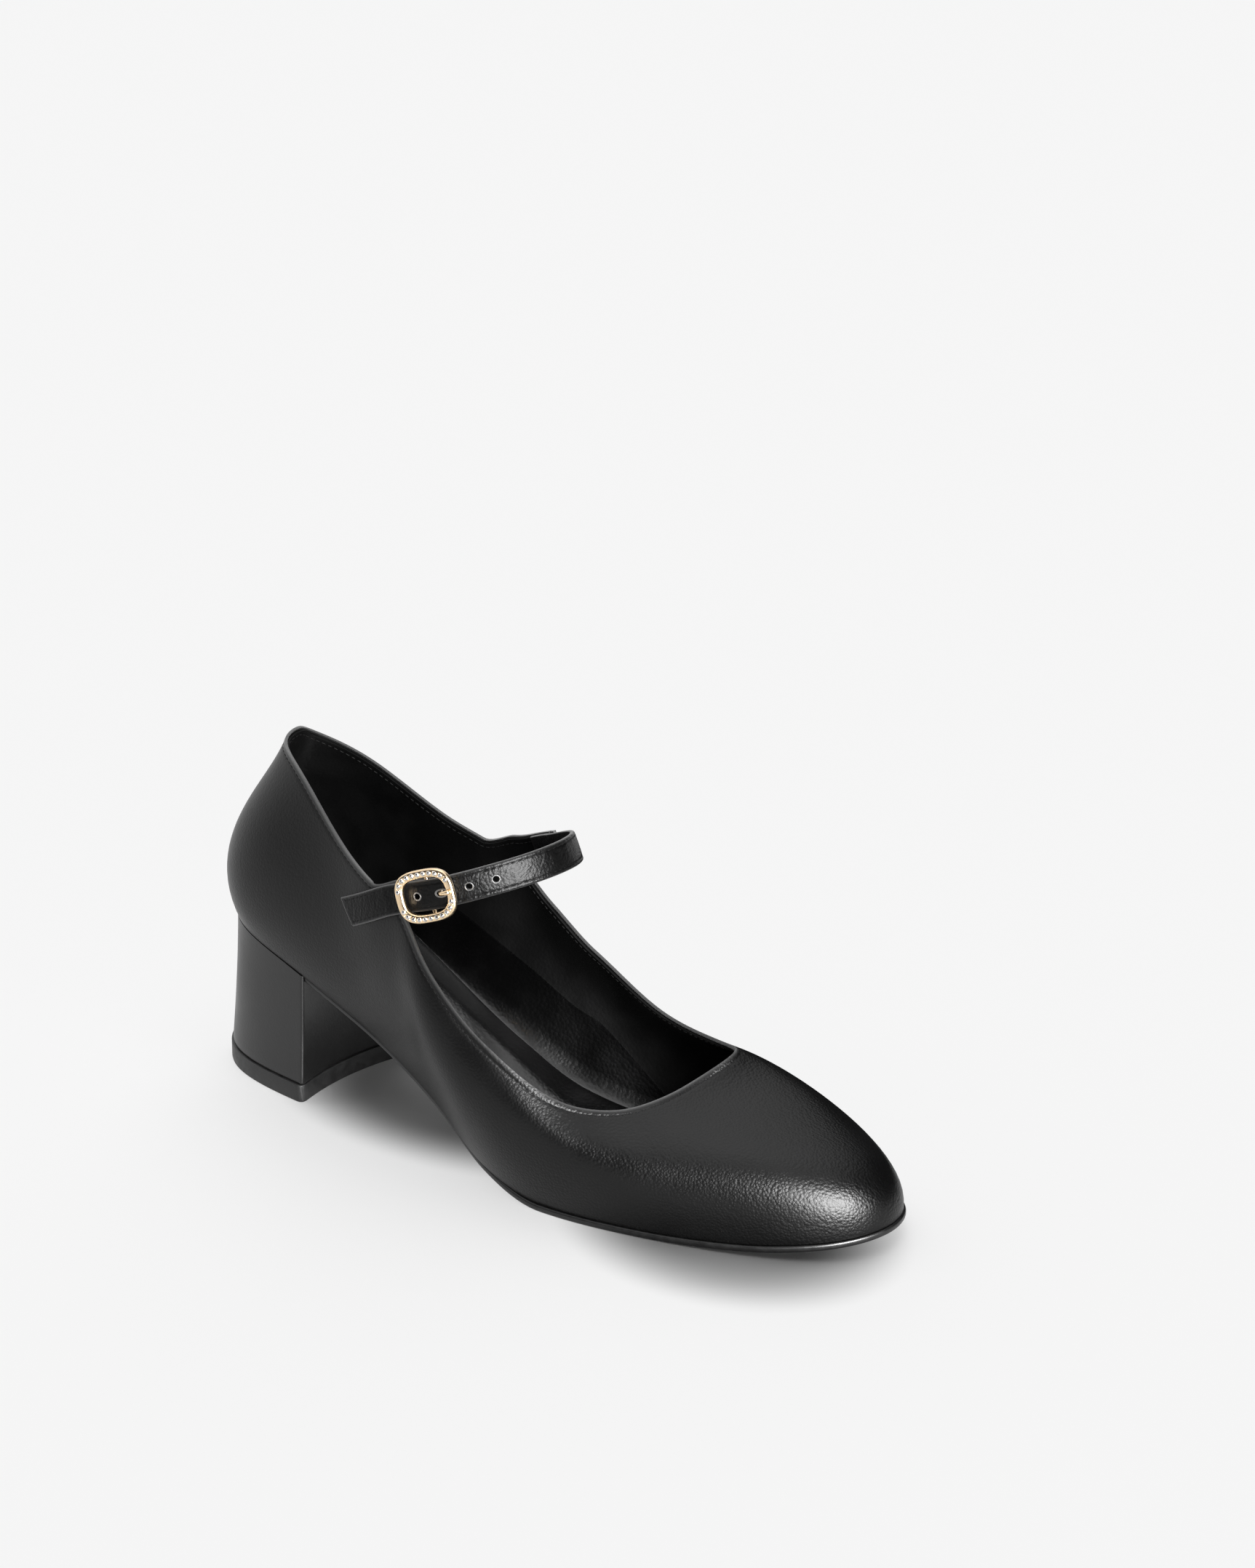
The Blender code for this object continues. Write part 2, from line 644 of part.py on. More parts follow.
def prism(outlines, heights):
    """Points and faces of a closed block through outlines at given heights."""
    points = [(x, y, height) for outline, height in zip(outlines, heights) for x, y in outline]
    return points, tube_faces(len(outlines), len(outlines[0]))


def make_sole(surface, collection, tools):
    """The outsole, from the toe to the heel's breast."""
    angles = np.arange(SOLE_ROUND_STEPS) * 2.0 * HALF_TURN / SOLE_ROUND_STEPS
    rows = (
        (-SOLE_ROUND, 0.0),
        (0.0, SOLE_ROUND),
        (0.0, SOLE_THICKNESS - SOLE_ROUND),
        (-SOLE_ROUND, SOLE_THICKNESS),
    )
    points = []
    base = feather_line(angles)
    away = outward(angles)
    for margin, depth in rows:
        ring = base + away * (sole_margin(base[:, 0]) + margin)[:, None]
        ring[:, 2] = bottom_height(ring[:, 0]) - CLEARANCE - depth
        points.extend(ring)
    sole = piece("outsole", points, slab_faces(len(rows), SOLE_ROUND_STEPS), surface, collection)
    outline = heel_outline(3.0 * CLEARANCE, CORNER_ROUND)
    seat = cutter("seat_cutter", *prism([outline, outline], [-0.01, HEEL_HEIGHT + INSTEP_HEIGHT]), tools)
    combine(sole, seat, "DIFFERENCE")
    return sole


def make_heel(surface, collection, tools):
    """The covered heel block, cupped to the seat."""
    low = TOP_PIECE_HEIGHT + CLEARANCE
    high = HEEL_HEIGHT * 1.2
    heights = np.linspace(low, high, 6)
    outlines = []
    for height in heights:
        rest = max(0.0, 1.0 - (height - low) / (HEEL_HEIGHT - low))
        outlines.append(heel_outline(HEEL_FLARE * rest ** 1.5, CORNER_ROUND))
    heel = piece("heel", *prism(outlines, heights), surface, collection)
    reach = np.linspace(-0.02, 0.45, 48) * LENGTH - TOP_PIECE_CENTRE
    profile = [(x, bottom_height(x) - CLEARANCE) for x in reach]
    profile += [(reach[-1], high * 1.2), (reach[0], high * 1.2)]
    points = [(x, y, z) for y in (-BALL_WIDTH, BALL_WIDTH) for x, z in profile]
    last = cutter("last_cutter", points, tube_faces(2, len(profile)), tools)
    combine(heel, last, "DIFFERENCE")
    return heel


def make_top_piece(surface, collection):
    """The rubber top piece that stands on the floor."""
    spread = HEEL_FLARE + TOP_PIECE_PROUD
    full = heel_outline(spread, TOP_PIECE_ROUND)
    drawn = heel_outline(spread - EDGE_ROUND, TOP_PIECE_ROUND)
    block = prism([drawn, full, full], [0.0, EDGE_ROUND, TOP_PIECE_HEIGHT])
    return piece("heel_top_piece", *block, surface, collection)


def make_insole(surface, collection, rows=46, columns=10):
    """The insole inside the walls, with its raised inner arch."""
    inset = WALL + 2.0 * CLEARANCE
    angles = np.linspace(0.07, HALF_TURN - 0.07, rows)
    outer = inset_line(angles, inset)
    inner = inset_line(2.0 * HALF_TURN - angles, inset)
    points = []
    shares = np.linspace(0.0, 1.0, columns + 1)
    middle = ARCH_PAD_AT * LENGTH - TOP_PIECE_CENTRE
    for start, end in zip(outer, inner):
        for share in shares:
            point = start + (end - start) * share
            along = min(1.0, abs(point[0] - middle) / ARCH_PAD_LENGTH)
            pad = ARCH_PAD * (1.0 - along ** 2) ** 2 * max(0.0, (share - 0.45) / 0.55) ** 1.5
            edge = EDGE_ROUND if share in (0.0, 1.0) else 0.0
            point[2] = bottom_height(point[0]) + INSOLE_THICKNESS + pad - edge
            points.append(point)
        for share in shares[::-1]:
            point = start + (end - start) * share
            point[2] = bottom_height(point[0]) + CLEARANCE / 2.0
            points.append(point)
    return piece("insole", points, tube_faces(rows, 2 * (columns + 1)), surface, collection)


def strap_section():
    """Corners of the strap's section: share of the half width and share of the thickness."""
    return (
        (-1.0, 0.25),
        (-0.93, 0.0),
        (0.93, 0.0),
        (1.0, 0.25),
        (1.0, 0.75),
        (0.93, 1.0),
        (-0.93, 1.0),
        (-1.0, 0.75),
    )


def make_strap(surface, collection, tools):
    """The strap, from its slanted tip to its end under the inner quarter's end."""
    steps = int(round((STRAP_END - STRAP_START) / STRAP_STEP))
    places = np.linspace(STRAP_START, STRAP_END, steps + 1)
    points = []
    for place in places:
        near_tip = max(0.0, 1.0 - (place - STRAP_START) / (4.0 * STRAP_STEP))
        for across, through in strap_section():
            shift = TIP_SLANT * across * near_tip
            point, _, normal, side = PATH.frame(place + shift)
            lift = strap_lift(place) + through * STRAP_THICKNESS
            points.append(point + side * across * STRAP_WIDTH / 2.0 + normal * lift)
    strap = piece("strap", points, tube_faces(len(places), len(strap_section())), surface, collection)
    for number in range(-HOLES_BEHIND, HOLES_AHEAD + 1):
        place = BUCKLE_PLACE + PRONG_HOLE + number * HOLE_SPACING
        point, ahead, normal, side = PATH.frame(place)
        slot = 1.6 if number == 0 else 1.0
        ring = []
        for height in (-0.4 * STRAP_WIDTH, 0.8 * STRAP_WIDTH):
            for turn in np.linspace(0.0, 2.0 * HALF_TURN, 12, endpoint=False):
                offset = ahead * math.cos(turn) * slot + side * math.sin(turn)
                ring.append(point + offset * HOLE_WIDTH / 2.0 + normal * height)
        hole = cutter("hole_cutter", ring, tube_faces(2, 12), tools)
        combine(strap, hole, "DIFFERENCE")
    return strap


def in_buckle(along, across, height):
    """A point in the buckle's own directions."""
    point, ahead, normal, side = PATH.frame(BUCKLE_PLACE)
    return point + ahead * along + side * across + normal * height


def oval(length, width, turn):
    """A point of the buckle's rounded outline."""
    power = 2.0 / BUCKLE_SQUARENESS
    cosine, sine = math.cos(turn), math.sin(turn)
    return (length / 2.0 * math.copysign(abs(cosine) ** power, cosine),
            width / 2.0 * math.copysign(abs(sine) ** power, sine))


def round_bar(route, widths, sides=8):
    """Points and faces of a bar along a route, with a width at each of its points."""
    route = np.asarray(route, float)
    ahead = unit(np.gradient(route, axis=0))
    points = []
    side = np.cross(ahead[0], [0.31, 0.52, 0.79])
    for point, direction, width in zip(route, ahead, widths):
        side = unit(side - direction * np.dot(side, direction))
        up = np.cross(direction, side)
        for turn in np.linspace(0.0, 2.0 * HALF_TURN, sides, endpoint=False):
            points.append(point + (side * math.cos(turn) + up * math.sin(turn)) * width / 2.0)
    return points, tube_faces(len(route), sides)


def make_buckle_frame(surface, collection, tools):
    """The oval frame with its middle bar, cast in one."""
    section = ((0.0, 0.0), (1.0, 0.0), (1.0, 0.7), (0.82, 1.0), (0.18, 1.0), (0.0, 0.7))
    turns = np.linspace(0.0, 2.0 * HALF_TURN, 56, endpoint=False)
    points = []
    for turn in turns:
        outer = np.array(oval(BUCKLE_LENGTH, BUCKLE_WIDTH, turn))
        inner = np.array(oval(BUCKLE_LENGTH - 2.0 * BUCKLE_BAND, BUCKLE_WIDTH - 2.0 * BUCKLE_BAND, turn))
        for share, height in section:
            along, across = outer + (inner - outer) * share
            points.append(in_buckle(along, across, FRAME_FLOOR + height * BUCKLE_THICKNESS))
    faces = tube_faces(len(turns), len(section), closed=True)
    frame = piece("buckle_frame", points, faces, surface, collection)
    rail = (BUCKLE_WIDTH - BUCKLE_BAND) / 2.0
    top = FRAME_FLOOR + BUCKLE_THICKNESS * 0.5
    low = CLEARANCE + BAR_WIDTH / 2.0
    knots = (
        (-rail, top),
        (-rail, low + 0.43 * BAR_WIDTH),
        (-rail + 0.3 * BAR_WIDTH, low + 0.07 * BAR_WIDTH),
        (-rail + 0.8 * BAR_WIDTH, low),
        (rail - 0.8 * BAR_WIDTH, low),
        (rail - 0.3 * BAR_WIDTH, low + 0.07 * BAR_WIDTH),
        (rail, low + 0.43 * BAR_WIDTH),
        (rail, top),
    )
    route = [in_buckle(0.0, across, height) for across, height in knots]
    bar = cutter("bar", *round_bar(route, [BAR_WIDTH] * len(route)), tools)
    combine(frame, bar, "UNION")
    return frame


def make_prong(surface, collection):
    """The prong, from beside the bar up through the strap to the frame's front end."""
    rest = FRAME_FLOOR + BUCKLE_THICKNESS + CLEARANCE + PRONG_WIDTH / 2.0
    low = CLEARANCE + PRONG_WIDTH / 2.0
    start = BAR_WIDTH / 2.0 + PRONG_WIDTH / 2.0 + CLEARANCE
    end = BUCKLE_LENGTH / 2.0 - 0.3 * BUCKLE_BAND
    knots = ((start, low), (PRONG_HOLE - PRONG_WIDTH, low), (PRONG_HOLE + PRONG_WIDTH, rest - CLEARANCE),
             (end - 1.6 * PRONG_WIDTH, rest), (end, rest))
    alongs = np.linspace(start, end, 22)
    heights = steady_curve([knot[0] for knot in knots], [knot[1] for knot in knots], alongs)
    route = [in_buckle(along, 0.0, height) for along, height in zip(alongs, heights)]
    widths = [PRONG_WIDTH] * (len(route) - 1) + [PRONG_WIDTH * 0.6]
    return piece("buckle_prong", *round_bar(route, widths), surface, collection)


def main():
    """Clear the scene and make every piece."""
    for old in list(bpy.data.objects):
        bpy.data.objects.remove(old, do_unlink=True)
    parts = bpy.data.collections.new("mary_jane_pump")
    tools = bpy.data.collections.new("cutters")
    bpy.context.scene.collection.children.link(parts)
    bpy.context.scene.collection.children.link(tools)
    nappa = material("black_nappa", (0.012, 0.012, 0.013), 0.42)
    strap_leather = material("strap_leather", (0.012, 0.012, 0.013), 0.34)
    heel_leather = material("heel_leather", (0.012, 0.012, 0.013), 0.46)
    lining = material("insole_leather", (0.010, 0.010, 0.010), 0.30)
    sole_edge = material("sole_edge", (0.015, 0.015, 0.015), 0.45)
    rubber = material("top_piece_rubber", (0.016, 0.016, 0.016), 0.60)
    gold = material("light_gold", (0.86, 0.69, 0.45), 0.22, metallic=1.0)
    prong_gold = material("prong_gold", (0.86, 0.69, 0.45), 0.22, metallic=1.0)
    make_upper(nappa, parts)
    make_sole(sole_edge, parts, tools)
    make_insole(lining, parts)
    make_heel(heel_leather, parts, tools)
    make_top_piece(rubber, parts)
    make_strap(strap_leather, parts, tools)
    make_buckle_frame(gold, parts, tools)
    make_prong(prong_gold, parts)


main()
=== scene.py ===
"""Dressed scene of one mary jane pump with a block heel: the right shoe, on a pale studio floor."""
import logging
import math
from dataclasses import dataclass, field
from enum import Enum
from typing import Iterable, NamedTuple, Sequence

import bmesh
import bpy
import numpy as np
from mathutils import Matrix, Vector, kdtree, noise


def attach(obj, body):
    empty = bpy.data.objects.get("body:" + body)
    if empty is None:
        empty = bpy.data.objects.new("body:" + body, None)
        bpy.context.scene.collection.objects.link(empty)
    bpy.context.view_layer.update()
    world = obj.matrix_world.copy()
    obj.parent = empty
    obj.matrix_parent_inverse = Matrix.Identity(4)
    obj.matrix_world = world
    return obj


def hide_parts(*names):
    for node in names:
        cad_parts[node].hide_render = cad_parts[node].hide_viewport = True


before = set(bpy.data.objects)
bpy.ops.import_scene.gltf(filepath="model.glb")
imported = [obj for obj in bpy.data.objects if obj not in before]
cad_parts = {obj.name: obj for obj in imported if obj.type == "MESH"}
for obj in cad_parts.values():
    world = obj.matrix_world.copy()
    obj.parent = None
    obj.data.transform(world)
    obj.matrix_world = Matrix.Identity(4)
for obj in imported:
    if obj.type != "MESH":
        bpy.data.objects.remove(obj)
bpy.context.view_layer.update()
LOG = logging.getLogger("pump")

Points = np.ndarray
Face = tuple[int, ...]
Shape = tuple[list[Points], list[Face]]
Colour = tuple[float, float, float]
Given = dict[str | int, object]
Thing = bpy.types.Object
Tree = bpy.types.NodeTree
Socket = bpy.types.NodeSocket
Material = bpy.types.Material
HALF_TURN = math.pi
FULL_TURN = 2.0 * math.pi
WHITE = (1.0, 1.0, 1.0, 1.0)
UP = (0.0, 0.0, 1.0)
BODY = "root"


class Height(NamedTuple):
    """Height of the feather line at a share of the length, as shares of the heel and the toe spring."""

    at: float
    heel: float
    spring: float


class Section(NamedTuple):
    """One section of the last, from the back round to the toe and back again."""

    at: float
    width: float
    top_at: float
    top_width: float
    rise: float
    flare: float
    foot: float
    tilt: float
    crown: float


HEIGHTS = (
    Height(0.00, 1.000, 0.00),
    Height(0.05, 0.965, 0.00),
    Height(0.13, 0.885, 0.00),
    Height(0.26, 0.665, 0.00),
    Height(0.40, 0.335, 0.00),
    Height(0.50, 0.100, 0.00),
    Height(0.60, 0.000, 0.00),
    Height(0.74, 0.000, 0.00),
    Height(0.86, 0.000, 0.20),
    Height(0.95, 0.000, 0.66),
    Height(1.00, 0.000, 1.00),
)
SECTIONS = (
    Section(0.000, -0.010, 0.074, 0.030, 0.975, 24, 0.42, 70, 0.30),
    Section(0.040, -0.225, 0.090, -0.102, 0.985, 22, 0.42, 70, 0.30),
    Section(0.130, -0.300, 0.155, -0.213, 0.97, 18, 0.38, 75, 0.31),
    Section(0.240, -0.315, 0.245, -0.308, 0.895, 19, 0.36, 79, 0.31),
    Section(0.330, -0.320, 0.312, -0.370, 0.96, 23, 0.36, 78, 0.31),
    Section(0.400, -0.345, 0.362, -0.400, 1.035, 25, 0.36, 76, 0.31),
    Section(0.500, -0.420, 0.425, -0.460, 0.99, 22, 0.36, 69, 0.30),
    Section(0.620, -0.435, 0.530, -0.455, 0.75, 14, 0.36, 60, 0.30),
    Section(0.740, -0.355, 0.607, -0.385, 0.565, 10, 0.36, 42, 0.30),
    Section(0.860, -0.225, 0.669, -0.248, 0.492, 6, 0.39, 30, 0.30),
    Section(0.960, -0.045, 0.705, -0.084, 0.479, 4, 0.38, 25, 0.29),
    Section(1.000, 0.200, 0.717, 0.063, 0.484, 3, 0.36, 25, 0.28),
    Section(0.960, 0.420, 0.732, 0.266, 0.577, 3, 0.33, 28, 0.26),
    Section(0.860, 0.503, 0.690, 0.333, 0.612, 6, 0.37, 32, 0.28),
    Section(0.740, 0.520, 0.592, 0.342, 0.679, 13, 0.35, 50, 0.29),
    Section(0.620, 0.420, 0.498, 0.370, 0.820, 21, 0.36, 63, 0.30),
    Section(0.500, 0.290, 0.410, 0.385, 0.930, 25, 0.36, 75, 0.30),
    Section(0.400, 0.240, 0.350, 0.385, 0.915, 28, 0.36, 81, 0.30),
    Section(0.260, 0.265, 0.260, 0.335, 0.790, 20, 0.36, 82, 0.30),
    Section(0.130, 0.310, 0.143, 0.260, 0.850, 14, 0.36, 81, 0.31),
    Section(0.040, 0.195, 0.080, 0.140, 0.925, 18, 0.38, 74, 0.32),
)


def unit(vectors: Points) -> Points:
    """Scale vectors, one or rows of them, to length one."""
    vectors = np.asarray(vectors, float)
    return vectors / np.maximum(np.linalg.norm(vectors, axis=-1, keepdims=True), 1e-12)


def smooth_step(values: Points) -> Points:
    """Ease shares from 0 to 1."""
    values = np.clip(values, 0.0, 1.0)
    return values * values * (3.0 - 2.0 * values)


def steady_curve(knots: Sequence[float], values: Sequence[float], places: Points) -> Points:
    """Read a curve that never passes its own values between two knots.

    Args:
        knots: rising places of the known values.
        values: the value at each knot.
        places: where to read.

    Returns:
        One value for each place.
    """
    knots = np.asarray(knots, float)
    values = np.asarray(values, float)
    slopes = np.diff(values) / np.diff(knots)
    ends = np.zeros(len(knots))
    for here in range(1, len(knots) - 1):
        before, after = slopes[here - 1], slopes[here]
        if before * after > 0.0:
            ends[here] = 2.0 * before * after / (before + after)
    ends[0], ends[-1] = slopes[0], slopes[-1]
    places = np.clip(np.asarray(places, float), knots[0], knots[-1])
    here = np.clip(np.searchsorted(knots, places, side="right") - 1, 0, len(slopes) - 1)
    span = np.diff(knots)[here]
    part = (places - knots[here]) / span
    rest = 1.0 - part
    curve = values[here] * (1.0 + 2.0 * part) * rest ** 2
    curve = curve + values[here + 1] * (1.0 + 2.0 * rest) * part ** 2
    return curve + span * part * rest * (ends[here] * rest - ends[here + 1] * part)


def smoothed(rows: Points, passes: int) -> Points:
    """Even out a row of vectors, with its two ends held.

    Args:
        rows: the vectors in order.
        passes: how often to average.

    Returns:
        The evened rows.
    """
    rows = np.array(rows, float)
    for _ in range(passes):
        rows[1:-1] = (rows[:-2] + 2.0 * rows[1:-1] + rows[2:]) / 4.0
    return rows


def loop_angle(at: float, inner: bool = False) -> float:
    """Angle round the shoe of a share of the length."""
    angle = math.acos(1.0 - 2.0 * at)
    return FULL_TURN - angle if inner else angle


@dataclass
class Last:
    """The last that the whole shoe is built round, in metres."""

    length: float = 0.238
    ball_width: float = 0.076
    heel_height: float = 0.0515
    instep_height: float = 0.062
    toe_spring: float = 0.0052
    sole_thickness: float = 0.0022
    clearance: float = 0.0003
    heel_depth: float = 0.0405
    breast_turn: float = 8.0
    knots: Points = field(init=False)
    bends: dict[str, Points] = field(init=False, default_factory=dict)

    def __post_init__(self) -> None:
        """Work out the sections' angles and the bends of the closed curves through them."""
        count = len(SECTIONS)
        toe = max(range(count), key=lambda row: SECTIONS[row].at)
        self.knots = np.array([loop_angle(row.at, inner=place > toe) for place, row in enumerate(SECTIONS)])
        spans = self.spans()
        matrix = np.zeros((count, count))
        for here in range(count):
            matrix[here, here - 1] += spans[here - 1]
            matrix[here, here] += 2.0 * (spans[here - 1] + spans[here])
            matrix[here, (here + 1) % count] += spans[here]
        for name in Section._fields[1:]:
            values = np.array([getattr(row, name) for row in SECTIONS])
            slopes = (np.roll(values, -1) - values) / spans
            self.bends[name] = np.linalg.solve(matrix, 6.0 * (slopes - np.roll(slopes, 1)))

    def spans(self) -> Points:
        """Angles between the sections."""
        return np.diff(np.append(self.knots, self.knots[0] + FULL_TURN))

    @property
    def back(self) -> float:
        """Distance from the origin back to the end of the seat."""
        turn = math.tan(math.radians(self.breast_turn))
        return (self.heel_depth + 0.5 * turn * 0.6 * self.ball_width) / 2.0

    def column(self, name: str, angles: Points) -> Points:
        """Read one column of the sections' table.

        Args:
            name: the column.
            angles: where to read it.

        Returns:
            One value for each angle.
        """
        values = np.array([getattr(row, name) for row in SECTIONS])
        bends, spans = self.bends[name], self.spans()
        angles = np.mod(np.asarray(angles, float), FULL_TURN)
        here = np.clip(np.searchsorted(self.knots, angles, side="right") - 1, 0, len(values) - 1)
        after = (here + 1) % len(values)
        span = spans[here]
        done = angles - self.knots[here]
        left = span - done
        curve = (bends[here] * left ** 3 + bends[after] * done ** 3) / (6.0 * span)
        curve = curve + (values[here] / span - bends[here] * span / 6.0) * left
        return curve + (values[after] / span - bends[after] * span / 6.0) * done

    def bottom_height(self, x: Points) -> Points:
        """Height of the last's underside.

        Args:
            x: places along the shoe.

        Returns:
            One height for each place.
        """
        at = (np.asarray(x, float) + self.back) / self.length
        places = [row.at for row in HEIGHTS]
        base = self.sole_thickness + self.clearance
        heel = steady_curve(places, [row.heel for row in HEIGHTS], at)
        spring = steady_curve(places, [row.spring for row in HEIGHTS], at)
        return base + heel * (self.heel_height - base) + spring * self.toe_spring

    def feather_line(self, angles: Points) -> Points:
        """Edge where the upper meets the sole.

        Args:
            angles: places round the shoe.

        Returns:
            One point for each angle.
        """
        angles = np.asarray(angles, float)
        x = self.length * (1.0 - np.cos(angles)) / 2.0 - self.back
        return np.stack([x, self.column("width", angles) * self.ball_width, self.bottom_height(x)], axis=-1)

    def topline(self, angles: Points) -> Points:
        """Edge of the collar and of the front opening.

        Args:
            angles: places round the shoe.

        Returns:
            One point for each angle.
        """
        angles = np.asarray(angles, float)
        x = self.column("top_at", angles) * self.length - self.back
        y = self.column("top_width", angles) * self.ball_width
        z = self.feather_line(angles)[..., 2] + self.column("rise", angles) * self.instep_height
        return np.stack([x, y, z], axis=-1)

    def outward(self, angles: Points, step: float = 1e-3) -> Points:
        """Level directions away from the shoe.

        Args:
            angles: places along the feather line.
            step: half the angle over which the line's direction is read.

        Returns:
            One direction for each angle.
        """
        angles = np.asarray(angles, float)
        along = self.feather_line(angles + step) - self.feather_line(angles - step)
        return unit(np.stack([along[..., 1], -along[..., 0], np.zeros(along.shape[:-1])], axis=-1))

    def inset_line(self, angles: Points, inset: float) -> Points:
        """The feather line moved inwards, on the last's underside.

        Args:
            angles: places round the shoe.
            inset: how far in.

        Returns:
            One point for each angle.
        """
        points = self.feather_line(angles) - self.outward(angles) * inset
        points[..., 2] = self.bottom_height(points[..., 0])
        return points

    def surface(self, angles: Points, shares: Points) -> Points:
        """Outer face of the upper.

        Args:
            angles: places round the shoe.
            shares: shares of the way up to the topline, one for each angle.

        Returns:
            One point for each pair.
        """
        angles = np.asarray(angles, float)
        shares = np.asarray(shares, float)[..., None]
        foot, top = self.feather_line(angles), self.topline(angles)
        away = self.outward(angles)
        flare = np.radians(self.column("flare", angles))[..., None]
        tilt = np.radians(self.column("tilt", angles))[..., None]
        up = np.array(UP)
        reach = np.linalg.norm(top - foot, axis=-1)[..., None]
        leave = up * np.cos(flare) + away * np.sin(flare)
        arrive = up * np.sin(tilt) - away * np.cos(tilt)
        low = foot + leave * reach * self.column("foot", angles)[..., None]
        high = top - arrive * reach * self.column("crown", angles)[..., None]
        rest = 1.0 - shares
        return (foot * rest ** 3 + 3.0 * low * shares * rest ** 2
                + 3.0 * high * shares ** 2 * rest + top * shares ** 3)

    def normal(self, angles: Points, shares: Points, step: float = 1e-3) -> Points:
        """Outward directions of the upper's outer face.

        Args:
            angles: places round the shoe.
            shares: shares of the way up, one for each angle.
            step: half the distance over which the face is read.

        Returns:
            One direction for each pair.
        """
        across = self.surface(angles, shares + step) - self.surface(angles, shares - step)
        along = self.surface(angles + step, shares) - self.surface(angles - step, shares)
        return unit(np.cross(along, across))

    def along_topline(self, root: float, distance: float, steps: int = 24) -> float:
        """Angle of the topline's point at a distance from a root.

        Args:
            root: the angle to start from.
            distance: how far to go, forwards if positive.
            steps: how many strides to take.

        Returns:
            The angle reached.
        """
        forwards = 1.0 if root < HALF_TURN else -1.0
        angle = root
        for _ in range(steps):
            speed = np.linalg.norm(self.topline(angle + 1e-3) - self.topline(angle - 1e-3)) / 2e-3
            angle += forwards * distance / steps / float(speed)
        return angle


LAST = Last()


